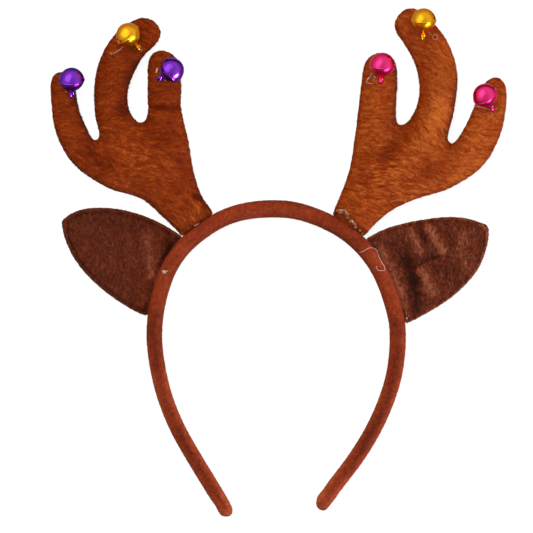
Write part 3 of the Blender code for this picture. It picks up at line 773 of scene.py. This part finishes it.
def tree_of(*objects):
    """What the given pieces' surfaces are, for finding the nearest one."""
    verts, faces = [], []
    for obj in objects:
        first = len(verts)
        verts += [vert.co for vert in obj.data.vertices]
        faces += [tuple(first + index for index in face.vertices) for face in obj.data.polygons]
    return BVHTree.FromPolygons(verts, faces)


def scatter(mesh, count, seed, favour=None):
    """Random places over a mesh, even by area times what favour gives, with their normals."""
    mesh.calc_loop_triangles()
    corners = np.empty(len(mesh.loop_triangles) * 3, np.int32)
    mesh.loop_triangles.foreach_get("vertices", corners)
    corners = corners.reshape(-1, 3)
    points, normals = read_points(mesh), read_normals(mesh)
    a, b, c = points[corners[:, 0]], points[corners[:, 1]], points[corners[:, 2]]
    weight = np.linalg.norm(np.cross(b - a, c - a), axis=1)
    if favour is not None:
        weight = weight * favour((a + b + c) / 3, normals[corners[:, 0]])
    rng = np.random.default_rng(seed)
    chosen = corners[rng.choice(len(corners), count, p=weight / weight.sum())]
    share = rng.dirichlet((1, 1, 1), count)[:, :, None]
    places = (points[chosen] * share).sum(axis=1)
    ups = (normals[chosen] * share).sum(axis=1)
    ups /= np.maximum(np.linalg.norm(ups, axis=1), 1e-9)[:, None]
    return places, ups, rng


def tuft_tree():
    """Geometry Nodes that set a closed, tapered tuft on each point, laid along its own direction."""
    tree = bpy.data.node_groups.new("pile_tufts", "GeometryNodeTree")
    inputs = {"Geometry": "Geometry", "Tuft width": "Float", "Width spread": "Float", "Seed": "Int"}
    for name, kind in (*inputs.items(), ("Material", "Material")):
        socket = tree.interface.new_socket(name, in_out="INPUT", socket_type=f"NodeSocket{kind}")
        if name == "Tuft width":
            socket.subtype = "DISTANCE"
    tree.interface.new_socket("Geometry", in_out="OUTPUT", socket_type="NodeSocketGeometry")
    given = add_node(tree, "NodeGroupInput").outputs
    sizes = {"Vertices": 3, "Side_Segments": 1, "Radius_Top": 0.0, "Radius_Bottom": 0.5, "Depth": 1.0}
    cone = add_node(tree, "GeometryNodeMeshCone", {"fill_type": "NGON"}, **sizes).outputs["Mesh"]

    def named(name, kind):
        found = add_node(tree, "GeometryNodeInputNamedAttribute", {"data_type": kind}, Name=name)
        return next(socket for socket in found.outputs if socket.enabled)

    lay, reach = named("lay", "FLOAT_VECTOR"), named("reach", "FLOAT")
    way = add_node(tree, "FunctionNodeAlignRotationToVector", {"axis": "Z"}, Vector=lay)
    narrow = add_maths(tree, "SUBTRACT", 1.0, given["Width spread"])
    spread = {"Min": narrow, "Max": 1.0, "Seed": given["Seed"]}
    chance = add_node(tree, "FunctionNodeRandomValue", {"data_type": "FLOAT"}, **spread)
    share = next(socket for socket in chance.outputs if socket.enabled)
    width = add_maths(tree, "MULTIPLY", given["Tuft width"], share)
    size = add_node(tree, "ShaderNodeCombineXYZ", X=width, Y=width, Z=reach).outputs["Vector"]
    laid = {"Points": given["Geometry"], "Instance": cone, "Rotation": way.outputs["Rotation"], "Scale": size}
    placed = add_node(tree, "GeometryNodeInstanceOnPoints", **laid)
    solid = add_node(tree, "GeometryNodeRealizeInstances", Geometry=placed.outputs["Instances"])
    dressed = {"Geometry": solid.outputs["Geometry"], "Material": given["Material"]}
    finished = add_node(tree, "GeometryNodeSetMaterial", **dressed)
    add_node(tree, "NodeGroupOutput", Geometry=finished.outputs["Geometry"])
    return tree


def run_tree(name, mesh, tree, **inputs):
    """A piece made by a Geometry Nodes tree from a mesh, with its inputs set by their identifiers."""
    obj = link(name, mesh)
    modifier = obj.modifiers.new("Nodes", "NODES")
    modifier.node_group = tree
    for item in tree.interface.items_tree:
        wanted = item.name.replace(" ", "_")
        if item.item_type == "SOCKET" and item.in_out == "INPUT" and wanted in inputs:
            modifier[item.identifier] = inputs[wanted]
    apply_modifiers(obj)
    if not obj.data.polygons:
        raise RuntimeError(f"{name}: the tree made nothing")
    for attribute in ("lay", "reach"):
        if attribute in obj.data.attributes:
            obj.data.attributes.remove(obj.data.attributes[attribute])
    obj.data.shade_smooth()
    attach(obj, "root")
    return obj


def add_tufts(name, places, directions, reaches, tints, width, material, seed):
    mesh = bpy.data.meshes.new(name)
    mesh.vertices.add(len(places))
    write_points(mesh, places)
    write_attribute(mesh, "lay", directions)
    write_attribute(mesh, "reach", reaches)
    write_attribute(mesh, "tint", tints)
    tree = bpy.data.node_groups.get("pile_tufts") or tuft_tree()
    tufts = run_tree(name, mesh, tree, Tuft_width=width, Width_spread=0.45, Seed=seed, Material=material)
    settle(tufts.data)
    return tufts


def lay_on(ups, way, lift):
    """Directions that follow way along the surface and stand off it by the angle lift."""
    along = way - ups * (way * ups).sum(axis=1)[:, None]
    along /= np.maximum(np.linalg.norm(along, axis=1), 1e-6)[:, None]
    return along * np.cos(lift)[:, None] + ups * np.sin(lift)[:, None]


def room_round(places, neighbours, most):
    """How far each place is from the neighbouring surfaces, up to most."""
    found = []
    for place in places:
        hit = neighbours.find_nearest(Vector(place), most)
        found.append(hit[3] if hit[0] is not None else most)
    return np.array(found)


def shades_of(group, prefix=""):
    """The dark, middle and light colours of a cloth, from its settings."""
    return [tuple(getattr(group, prefix + shade)) for shade in ("dark", "middle", "light")]


def cloth_material(name, shades, rough, glint, bloom):
    """Dull cloth, and a function that dyes it by a value from 0, dark, to 1, light."""
    sheen = {"Sheen_Weight": bloom, "Sheen_Roughness": 0.4, "Sheen_Tint": shades[-1]}
    made, tree, shader = new_material(name, Roughness=rough, Specular_IOR_Level=glint, **sheen)
    tint = add_node(tree, "ShaderNodeAttribute", {"attribute_name": "tint"}).outputs["Fac"]

    def dye(value):
        colour = add_ramp(tree, value, list(zip((0.0, 0.5, 1.0), shades)))
        tree.links.new(colour, shader.inputs["Base Color"])

    return made, tree, shader, tint, dye


def pile_material(name, shades, rough, bloom=0.025):
    """Dyed polyester pile: soft and dull, with a faint bloom where the tufts' ends catch the light."""
    made, _, _, tint, dye = cloth_material(name, shades, rough, 0.06, bloom)
    dye(tint)
    return made


def backing_material(name, shades, grain, bloom=0.0):
    """Knitted backing and pile roots: the pile's own colours, speckled, with a bump as fine as the tufts."""
    made, tree, shader, tint, dye = cloth_material(name, shades, 0.95, 0.08, bloom)
    speckle = add_noise(tree, grain, 3.0, 0.6)
    mixed = add_maths(tree, "MULTIPLY_ADD", speckle, 0.35, tint)
    dye(add_maths(tree, "SUBTRACT", mixed, 0.30))
    add_bump(tree, shader, 0.5, 0.15 * MM, speckle)
    return made


class HEADBAND_OT_band(bpy.types.Operator):
    """Covers the band in felt, with its loose fibres"""

    bl_idname = "headband.band"
    bl_label = "Felt Band"

    def execute(self, context):
        felt = context.scene.headband_felt
        shades = shades_of(felt)
        base = backing_material("felt, pressed polyester", shades, 0.35 * MM, 0.30)
        loose = pile_material("felt fibres, polyester", shades, 0.9, 0.15)
        band = cover_from("headband", "band_felt", 0.7 * MM, 10, 0.32 * MM, base)
        outline = Outline(band.data)
        press_creases(band, "headband", outline)
        points, ups = read_points(band.data), read_normals(band.data)
        write_attribute(band.data, "tint", self.mottle(points, ups, outline))

        places, ups, rng = scatter(band.data, felt.fibres, 11)
        turn = rng.uniform(0, 2 * math.pi, len(places))
        way = np.column_stack([np.cos(turn), np.sin(turn), rng.uniform(-1, 1, len(places))])
        lift = np.radians(rng.uniform(2, 22, len(places)))
        reaches = felt.fibre_length * rng.uniform(0.6, 1.3, len(places))
        tints = np.clip(self.mottle(places, ups, outline) + rng.normal(0, 0.22, len(places)), 0, 1)
        fibres = add_tufts(
            "band_fibres", places, lay_on(ups, way, lift), reaches, tints, felt.fibre_width, loose, 12
        )
        return {"FINISHED"}

    @staticmethod
    def mottle(places, ups, outline):
        """Felt with painted sheen along the edges of the legs and painted shade in their middles, painted
        light where it faces up, the listed tones, and specks all over.
        """
        home = places[:, :2] / MM
        away, around, _ = outline.near(home)
        beside = np.column_stack([around, places[:, 2] / MM])
        face = smoothstep((np.abs(ups[:, 2]) - 0.3) / 0.4)
        front = 1.5 * plane_noise(home, 0.6, 21) + 0.5 * plane_noise(home, 1.5, 22)
        flank = 1.5 * plane_noise(beside, 0.6, 24) + 0.5 * plane_noise(beside, 1.5, 25)
        small = flank + (front - flank) * face
        broad = plane_noise(home, 9.0, 23)
        # Painted sheen along the legs' edges, and painted shade in their middles
        legs = np.clip((-15 - home[:, 1]) / 40, 0, 1)
        rim = np.interp(away, *zip(*LEG_EDGE_SHEEN))
        # The last term is painted light: the felt is lighter where it faces up
        value = 0.47 + 0.30 * (small - 1) + 0.22 * (broad - 0.5) + 0.08 * ups[:, 2]
        value = value + legs * rim + traced(TONES["headband"], home)
        return np.clip(value, 0, 1)


def brush(piece, cover, band, material, count, length, width, lie):
    """Gives a plush cover its creases, its tint and its pile, which keeps clear of the band."""
    below, near, gap, shortest, stray, steepest, least, most, spread = lie
    outline = Outline(cover.data)
    press_creases(cover, piece, outline)
    nap = Nap(piece, outline)
    write_attribute(cover.data, "tint", nap.tint(read_points(cover.data), read_normals(cover.data)[:, 2]))

    def favour(middles, ups):
        return np.where(ups[:, 2] < -0.5, below, 1.0)

    places, ups, rng = scatter(cover.data, count, nap.seed + 3, favour)
    room = room_round(places, band, near * MM)
    kept = room > gap * MM
    places, ups, room = places[kept], ups[kept], room[kept]
    way = np.column_stack([nap.flow(places[:, :2] / MM), np.zeros(len(places))])
    way += rng.normal(0, stray, way.shape)
    lift = np.radians(rng.uniform(8, steepest, len(places)))
    reaches = length * rng.uniform(least, most, len(places)) * np.clip(room / (near * MM), shortest, 1)
    tints = np.clip(nap.tint(places, ups[:, 2]) + rng.normal(0, spread, len(places)), 0, 1)
    laid = lay_on(ups, way, lift)
    return add_tufts(f"{piece}_pile", places, laid, reaches, tints, width, material, nap.seed + 4)


# The share of tufts left underneath, how near the band they shorten and how near they end, their least share
# of length there, how they stray, their steepest angle, least and most length, and how far their tints spread
ANTLER_LIE = (0.3, 1.4, 0.5, 0.4, 0.22, 26, 0.7, 1.15, 0.11)
EAR_LIE = (0.4, 1.0, 0.4, 1.0, 0.3, 34, 0.6, 1.2, 0.12)


class HEADBAND_OT_antlers(bpy.types.Operator):
    """Covers the two stuffed antlers in brushed plush"""

    bl_idname = "headband.antlers"
    bl_label = "Plush Antlers"

    def execute(self, context):
        plush = context.scene.headband_plush
        shades = shades_of(plush, "antler_")
        base = backing_material("plush backing, polyester", shades, 0.4 * MM)
        pile = pile_material("plush pile, brushed polyester", shades, 0.8)
        band = tree_of(bpy.data.objects["band_felt"])
        count, length, width = plush.antler_hairs, plush.antler_pile, plush.hair_width
        for side in SIDES:
            piece = f"antler_{side}"
            cover = cover_from(piece, f"{piece}_cover", 0.65 * MM, 12, 0.68 * MM, base)
            tufts = brush(piece, cover, band, pile, count, length, width, ANTLER_LIE)
        return {"FINISHED"}


class HEADBAND_OT_ears(bpy.types.Operator):
    """Covers the two ears in cropped plush, with their hems"""

    bl_idname = "headband.ears"
    bl_label = "Plush Ears"

    def execute(self, context):
        plush = context.scene.headband_plush
        shades = shades_of(plush, "ear_")
        base = backing_material("ear backing, polyester", shades, 0.35 * MM)
        pile = pile_material("ear pile, cropped polyester", shades, 0.85)
        band = tree_of(bpy.data.objects["band_felt"])
        count, length, width = plush.ear_hairs, plush.ear_pile, 0.9 * plush.hair_width
        for side in SIDES:
            piece = f"ear_{side}"
            cover = cover_from(piece, f"{piece}_cover", 0.5 * MM, 4, 0.55 * MM, base)
            tufts = brush(piece, cover, band, pile, count, length, width, EAR_LIE)
        return {"FINISHED"}


# Bells

BELL_RADIUS = 5.4 * MM
BELLY_ENDS = 60
NECK_TOP = 6.3 * MM
NECK_RADIUS = 0.85 * MM
WAIST_HEIGHT = 0.55 * MM
WAIST_WIDTH = 0.7 * MM
RIDGE = 0.2 * MM
RIM_REACH = 2.3 * MM
SLOT_END = 1.5 * MM
LOOP_CENTRE = 7.6 * MM
LOOP_RADIUS = 1.35 * MM
LOOP_WIRE = 0.6 * MM
LOOP_LEAN = 20
PELLET_DROP = 3.23 * MM
BELL_SIDES = 72
SHARP = math.radians(50)


def lathe(name, profile, sides):
    """A closed body turned about Z from (radius, height) rows, whose first and last radius is zero."""
    verts = [(0, 0, profile[0][1])]
    for radius, height in profile[1:-1]:
        for side in range(sides):
            angle = 2 * math.pi * side / sides
            verts.append((radius * math.cos(angle), radius * math.sin(angle), height))
    verts.append((0, 0, profile[-1][1]))
    last = len(verts) - 1
    faces = []
    for side in range(sides):
        near = (side + 1) % sides
        faces.append((0, 1 + side, 1 + near))
        for ring in range(len(profile) - 3):
            low, high = 1 + ring * sides, 1 + (ring + 1) * sides
            faces.append((low + side, high + side, high + near, low + near))
        faces.append((last, last - sides + near, last - sides + side))
    return mesh_from(name, verts, faces)


def arc(radius, start, end, steps):
    """(radius, height) rows of a ball, from one angle above its waist to another, in degrees."""
    rows = []
    for step in range(steps + 1):
        angle = math.radians(start + (end - start) * step / steps)
        rows.append((radius * math.cos(angle), radius * math.sin(angle)))
    return rows


def bell_outside():
    """The ball, which swells to a rolled rim at its waist and is drawn in to a narrow neck."""
    rims = (-6.5, -5.0, -4.0, -3.6, -2.9, -1.7, 0.0, 1.7, 2.9, 3.6, 4.0, 5.0, 6.5)
    ball = arc(BELL_RADIUS, -87, -8, 18)
    ball += [row for angle in rims for row in arc(BELL_RADIUS, angle, angle, 1)[:1]]
    ball += arc(BELL_RADIUS, 8, BELLY_ENDS, 11)
    rows = [(0.0, -BELL_RADIUS)]
    for radius, height in ball:
        across = 2 * height / WAIST_WIDTH
        ridge = RIDGE * math.sqrt(max(0.0, 1 - across * across))
        swell = (WAIST_HEIGHT - RIDGE) * math.exp(-((height / RIM_REACH) ** 2))
        rows.append((radius + swell + ridge, height))
    wide, start = rows[-1]
    for step in range(1, 7):
        share = step / 6
        radius = NECK_RADIUS + (wide - NECK_RADIUS) * (1 - share) ** 1.6
        rows.append((radius, start + (NECK_TOP - start) * share))
    rows += [(0.9 * NECK_RADIUS, NECK_TOP + 0.4 * MM), (0.0, NECK_TOP + 0.5 * MM)]
    return rows


def ring_mesh(name, radius, wire, turns, sides, centre):
    """A wire ring in the XZ plane."""
    verts, faces = [], []
    for turn in range(turns):
        around = 2 * math.pi * turn / turns
        for side in range(sides):
            angle = 2 * math.pi * side / sides
            reach = radius + wire * math.cos(angle)
            height = centre + reach * math.sin(around)
            verts.append((reach * math.cos(around), wire * math.sin(angle), height))
    for turn in range(turns):
        here, ahead = turn * sides, (turn + 1) % turns * sides
        for side in range(sides):
            near = (side + 1) % sides
            faces.append((here + side, here + near, ahead + near, ahead + side))
    return mesh_from(name, verts, faces)


def bell_mesh(bell):
    """A hollow jingle bell about the origin, its neck at +Z, its slot under it along Y."""
    inner = BELL_RADIUS - bell.wall
    across = 2.4 * BELL_RADIUS
    slab_place = (0, 0, -SLOT_END - BELL_RADIUS / 2)
    slab_size = Matrix.Diagonal((bell.slot_width, across, BELL_RADIUS, 1))
    lying = Matrix.Rotation(math.pi / 2, 4, "X")
    rod = {"cap_ends": True, "segments": 28, "depth": across}
    rod.update(radius1=bell.hole_radius, radius2=bell.hole_radius)
    cutters = (
        lathe("bell_hollow", [(0, -inner)] + arc(inner, -80, 80, 18) + [(0, inner)], 48),
        simple_mesh("bell_slot", bmesh.ops.create_cube, slab_place, slab_size, size=1),
        simple_mesh("bell_holes", bmesh.ops.create_cone, (0, 0, -SLOT_END), lying, **rod),
    )
    shell = link("bell", lathe("bell", bell_outside(), BELL_SIDES))
    helpers = [link(mesh.name, mesh) for mesh in cutters]
    for cutter in helpers:
        add_modifier(shell, "BOOLEAN", operation="DIFFERENCE", solver="EXACT", object=cutter)
    bevel = {"width": 0.07 * MM, "segments": 2, "limit_method": "ANGLE", "angle_limit": SHARP}
    add_modifier(shell, "BEVEL", use_clamp_overlap=True, **bevel)
    bpy.context.view_layer.update()
    apply_modifiers(shell)
    mesh = shell.data
    for obj in (shell, *helpers):
        bpy.data.objects.remove(obj)
    return mesh


def with_loop(shape, turn):
    """A copy of the bell with its wire loop, nearly edge-on to the front whatever the bell's turn."""
    loop = ring_mesh("bell_loop", LOOP_RADIUS, LOOP_WIRE, 40, 12, LOOP_CENTRE)
    loop.transform(Matrix.Rotation(math.radians(LOOP_LEAN - turn), 4, "Z"))
    return mesh_of("bell", bmesh_of(shape, loop))


def bell_matrix(tine, bearing, dip, turn):
    """Where a bell goes: its pellet is straight under its middle, and its loop points along the bearing."""
    low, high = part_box(f"pellet_{tine}")
    centre = (low + high) / 2 + Vector((0, 0, PELLET_DROP))
    bearing, dip, turn = map(math.radians, (bearing, dip, turn))
    return (
        Matrix.Translation(centre)
        @ Matrix.Rotation(bearing, 4, "Z")
        @ Matrix.Rotation(math.pi / 2 + dip, 4, "Y")
        @ Matrix.Rotation(turn, 4, "Z")
    )


def bell_material(dye, colour):
    """Steel sheet, stamped and dyed under clear lacquer: it mirrors the room, a little bent by dents."""
    metal = {"Base_Color": colour, "Specular_Tint": colour, "Metallic": 1.0, "Roughness": 0.22}
    lacquer = {"Coat_Weight": 0.3, "Coat_Roughness": 0.05}
    made, tree, shader = new_material(f"{dye} dyed steel, lacquered", **metal, **lacquer)
    dents = add_noise(tree, 3.4 * MM, 2.0)
    add_bump(tree, shader, 0.6, 0.45 * MM, dents)
    return made


class HEADBAND_OT_bells(bpy.types.Operator):
    """Makes the six jingle bells, each with its pellet"""

    bl_idname = "headband.bells"
    bl_label = "Jingle Bells"

    def execute(self, context):
        bell = context.scene.headband_bells
        shape = bell_mesh(bell)
        steel = self.pellet_steel()
        dyes = {dye: bell_material(dye, tuple(getattr(bell, dye))) for dye in ("purple", "gold", "pink")}
        for tine, dye, bearing, dip, turn in BELLS:
            mesh = with_loop(shape, turn)
            mesh.transform(bell_matrix(tine, bearing, dip, turn))
            piece = add_piece(f"bell_{tine}_shell", mesh, dyes[dye])
            mesh.set_sharp_from_angle(angle=SHARP)
            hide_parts(f"bell_{tine}")
            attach(piece, "root")
            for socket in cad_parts[f"pellet_{tine}"].material_slots:
                socket.material = steel
        return {"FINISHED"}

    @staticmethod
    def pellet_steel():
        """Tumbled steel shot: grey and half dull, with fine pits."""
        made, tree, shader = new_material(
            "pellet steel, tumbled", Base_Color=linear("8d8c8a"), Metallic=1.0, Roughness=0.34
        )
        pits = add_noise(tree, 0.3 * MM, 2.0)
        add_bump(tree, shader, 0.3, 0.05 * MM, pits)
        return made


# Glue and lint


def laid_path(points, under, gap):
    """A smooth path through points in the plane, in millimetres, laid a little above what is under it."""
    points = np.array(points, float) * MM
    rows = np.vstack([2 * points[0] - points[1], points, 2 * points[-1] - points[-2]])
    path = []
    for a, b, c, d in zip(rows, rows[1:], rows[2:], rows[3:]):
        for t in np.arange(6) / 6:
            square, cube = 2 * a - 5 * b + 4 * c - d, 3 * b - a - 3 * c + d
            path.append(0.5 * (2 * b + (c - a) * t + square * t**2 + cube * t**3))
    path = np.array([*path, points[-1]])
    hits = [under.ray_cast(Vector((x, y, 0.06)), Vector((0, 0, -1)))[0] for x, y in path]
    found = [index for index, hit in enumerate(hits) if hit is not None]
    if not found:
        raise RuntimeError(f"nothing lies under {points[0]}")
    heights = np.interp(np.arange(len(path)), found, [hits[index].z + gap for index in found])
    heights[1:-1] = (heights[:-2] + 2 * heights[1:-1] + heights[2:]) / 4
    return np.column_stack([path, heights])


def thread_mesh(rows, half):
    """A round thread along the rows, thinner at its ends."""
    curve = bpy.data.curves.new("thread", "CURVE")
    curve.dimensions = "3D"
    curve.bevel_depth = half
    curve.bevel_resolution = 2
    curve.use_fill_caps = True
    spline = curve.splines.new("POLY")
    spline.points.add(len(rows) - 1)
    for index, (point, row) in enumerate(zip(spline.points, rows)):
        point.co = (*row, 1)
        point.radius = 0.5 + min(index, len(rows) - 1 - index, 3) / 6
    obj = link("thread", curve)
    bpy.context.view_layer.update()
    graph = bpy.context.evaluated_depsgraph_get()
    mesh = bpy.data.meshes.new_from_object(obj.evaluated_get(graph), depsgraph=graph)
    bpy.data.objects.remove(obj)
    return mesh


def laid_threads(rows, under, gap):
    return [thread_mesh(laid_path(points, under, gap), half * MM) for _, half, points in rows]


def joined(name, meshes, material):
    return add_piece(name, mesh_of(name, bmesh_of(*meshes)), material)


# How high over the covers the glue's threads, its smears and the lint lie
THREAD_GAP = 0.5 * MM
SMEAR_GAP = 0.25 * MM
LINT_GAP = 0.6 * MM


class HEADBAND_OT_glue(bpy.types.Operator):
    """Sets the hot glue under each bell and at each antler's root, with its strings and smears"""

    bl_idname = "headband.glue"
    bl_label = "Hot Glue"

    def execute(self, context):
        clear = self.hot_glue("hot-melt glue, set", "9c4410", 0.14, 0.10)
        drawn = self.hot_glue("hot-melt glue, drawn thin", "e2b8a2", 0.6, 0.6)
        smeared = self.hot_glue("hot-melt glue, smeared", "a86c46", 0.6, 0.55)
        names = [row[0] for row in BELLS] + ["root_left", "root_right"]
        for name in names:
            piece = cover_from(f"glue_{name}", f"glue_{name}_bead", 0.25 * MM, 6, -0.3 * MM, clear)

        under = tree_of(*(bpy.data.objects[name] for name in COVERS))
        strings = laid_threads(STRANDS, under, THREAD_GAP)
        for _, x, y, radius, half in GLUE_RINGS:
            turns = np.radians(np.arange(0, 361, 45))
            ring = np.column_stack([x + radius * np.cos(turns), y + radius * np.sin(turns)])
            strings.append(thread_mesh(laid_path(ring, under, THREAD_GAP), half * MM))
        strings = joined("glue_strings", strings, drawn)
        lumps = []
        for _, x, y, radius, height in GLUE_LUMPS:
            place = laid_path(((x, y), (x + 0.01, y)), under, SMEAR_GAP)[0]
            stretch = Matrix.Diagonal((radius * MM, 0.8 * (radius * MM), (0.35 + height) * MM, 1))
            ball = {"subdivisions": 3, "radius": 1}
            lumps.append(simple_mesh("lump", bmesh.ops.create_icosphere, place, stretch, **ball))
        smears = joined("glue_smears", lumps, smeared)
        add_modifier(smears, "REMESH", mode="VOXEL", voxel_size=0.16 * MM)
        add_modifier(smears, "SMOOTH", factor=0.5, iterations=3)
        apply_modifiers(smears)
        smears.data.shade_smooth()
        for piece in (strings, smears):
            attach(piece, "root")
        return {"FINISHED"}

    @staticmethod
    def hot_glue(name, colour, body, shine):
        """Hot-melt glue: a clear gel that mostly shows its shine, and whitish where it is drawn thin."""
        made, tree, shader = new_material(
            name,
            Base_Color=linear(colour),
            Roughness=0.10,
            IOR=1.48,
            Alpha=body,
            Specular_IOR_Level=0.5 * shine,
            Coat_Weight=shine,
            Coat_Roughness=0.04,
        )
        waves = add_noise(tree, 0.7 * MM, 2.0)
        add_bump(tree, shader, 0.6, 0.25 * MM, waves)
        return made


class HEADBAND_OT_lint(bpy.types.Operator):
    """Lays the bits of white fluff and the fine thread where they cling to the headband"""

    bl_idname = "headband.lint"
    bl_label = "Lint"

    def execute(self, context):
        white, _, _ = new_material("white polyester fluff", Base_Color=linear("e4cfc8"), Roughness=0.8)
        under = tree_of(*(bpy.data.objects[name] for name in COVERS))
        lint = joined("lint", laid_threads(LINT, under, LINT_GAP), white)
        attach(lint, "root")
        return {"FINISHED"}


# Studio

LIGHTS = (
    # light, place, size, what it is hidden from
    ("key", (0.80, -0.82, 0.42), (0.6, 0.2), "visible_diffuse"),
    ("fill", (-0.45, 0.45, 1.15), (0.9, 0.9), "visible_glossy"),
    ("side", (1.2, -0.55, 0.16), (0.6, 0.2), "visible_glossy"),
    ("window", (-0.5, 0.42, 0.8), (1.1, 0.8), "visible_diffuse"),
)
ROOM = (
    # place from straight down (0) to straight up (1), colour
    (0.0, (0.95, 0.90, 0.86)),
    (0.08, (0.80, 0.74, 0.70)),
    (0.20, (0.50, 0.46, 0.43)),
    (0.48, (0.56, 0.53, 0.50)),
    (0.60, (0.86, 0.85, 0.84)),
    (0.78, (1.05, 1.05, 1.05)),
    (0.92, (0.86, 0.86, 0.87)),
    (1.0, (0.70, 0.70, 0.71)),
)


class HEADBAND_OT_stage(bpy.types.Operator):
    """Sets the table, the lights and the camera over the headband"""

    bl_idname = "headband.stage"
    bl_label = "Stage"

    def execute(self, context):
        studio = context.scene.headband_studio
        self.add_floor(tuple(studio.floor))
        self.add_camera(context, studio)
        self.add_world(context)
        for name, place, size, hidden in LIGHTS:
            light = self.add_light(f"{name}_light", place, size, getattr(studio, f"{name}_power"))
            setattr(light, hidden, False)
        context.scene.view_settings.view_transform = "Standard"
        return {"FINISHED"}

    @staticmethod
    def add_floor(colour):
        """White acrylic, lit from under as on a product table, so that it takes hardly any shadow."""
        glow = {"Emission_Color": (1, 1, 1, 1), "Emission_Strength": 0.88}
        made, _, _ = new_material("white acrylic table", Base_Color=colour, Roughness=0.6, **glow)
        mesh = mesh_from("floor", [(-3, -3, 0), (3, -3, 0), (3, 3, 0), (-3, 3, 0)], [(0, 1, 2, 3)])
        mesh.transform(Matrix.Translation((0, 0, -0.3 * MM)))
        floor = add_piece("floor", mesh, made)
        floor.visible_diffuse = False
        floor.visible_glossy = False

    @staticmethod
    def add_camera(context, studio):
        data = bpy.data.cameras.new("camera")
        data.sensor_width = 36
        data.lens = data.sensor_width * (studio.camera_height - MIDDLE) / studio.view_width
        data.clip_start = 0.01
        data.clip_end = 20
        camera = link("camera", data)
        camera.location = (-5.4 * MM, -2.0 * MM, studio.camera_height)
        context.scene.camera = camera

    @staticmethod
    def add_world(context):
        """A pale room, dimmer at table height and towards -Y, which shades the bells' edges and feet."""
        world = bpy.data.worlds.new("studio")
        world.use_nodes = True
        tree = world.node_tree
        place = add_node(tree, "ShaderNodeTexCoord")
        split = add_node(tree, "ShaderNodeSeparateXYZ", Vector=place.outputs["Generated"])
        kind = "ShaderNodeMapRange"
        height = add_node(tree, kind, Value=split.outputs["Z"], From_Min=-1.0)
        colour = add_ramp(tree, height.outputs["Result"], [(place, (*shade, 1)) for place, shade in ROOM])
        reach = {"From_Min": -0.95, "From_Max": -0.1, "To_Min": 0.22, "To_Max": 1.0}
        side = add_node(tree, kind, {"interpolation_type": "SMOOTHSTEP"}, Value=split.outputs["Y"], **reach)
        shaded = add_node(tree, "ShaderNodeVectorMath", {"operation": "SCALE"}, Scale=side.outputs["Result"])
        tree.links.new(colour, shaded.inputs[0])
        back = tree.nodes["Background"]
        tree.links.new(shaded.outputs["Vector"], back.inputs["Color"])
        back.inputs["Strength"].default_value = 0.95
        context.scene.world = world

    @staticmethod
    def add_light(name, place, size, power):
        data = bpy.data.lights.new(name, "AREA")
        data.shape = "RECTANGLE"
        data.size, data.size_y = size
        data.energy = power
        light = link(name, data)
        light.location = place
        light.rotation_euler = Vector(place).to_track_quat("Z", "Y").to_euler()
        return light


class HEADBAND_PT_panel(bpy.types.Panel):
    """The headband's makers and sizes"""

    bl_label = "Reindeer Headband"
    bl_idname = "HEADBAND_PT_panel"
    bl_space_type = "VIEW_3D"
    bl_region_type = "UI"
    bl_category = "Headband"

    def draw(self, context):
        for maker in MAKERS:
            self.layout.operator(maker.bl_idname)
        for name in SETTINGS:
            box = self.layout.box()
            group = getattr(context.scene, name)
            for prop in group.__annotations__:
                box.prop(group, prop)


SETTINGS = {
    "headband_plush": PlushSettings,
    "headband_felt": FeltSettings,
    "headband_bells": BellSettings,
    "headband_studio": StudioSettings,
}
MAKERS = (
    HEADBAND_OT_band,
    HEADBAND_OT_antlers,
    HEADBAND_OT_ears,
    HEADBAND_OT_bells,
    HEADBAND_OT_glue,
    HEADBAND_OT_lint,
    HEADBAND_OT_stage,
)


def register():
    for made in (*SETTINGS.values(), *MAKERS, HEADBAND_PT_panel):
        bpy.utils.register_class(made)
    for name, group in SETTINGS.items():
        setattr(bpy.types.Scene, name, PointerProperty(type=group))


def unregister():
    for name in SETTINGS:
        delattr(bpy.types.Scene, name)
    for made in reversed((*SETTINGS.values(), *MAKERS, HEADBAND_PT_panel)):
        bpy.utils.unregister_class(made)


def main():
    register()
    bpy.ops.headband.band()
    bpy.ops.headband.antlers()
    bpy.ops.headband.ears()
    bpy.ops.headband.bells()
    bpy.ops.headband.glue()
    bpy.ops.headband.lint()
    bpy.ops.headband.stage()


if __name__ == "__main__":
    main()
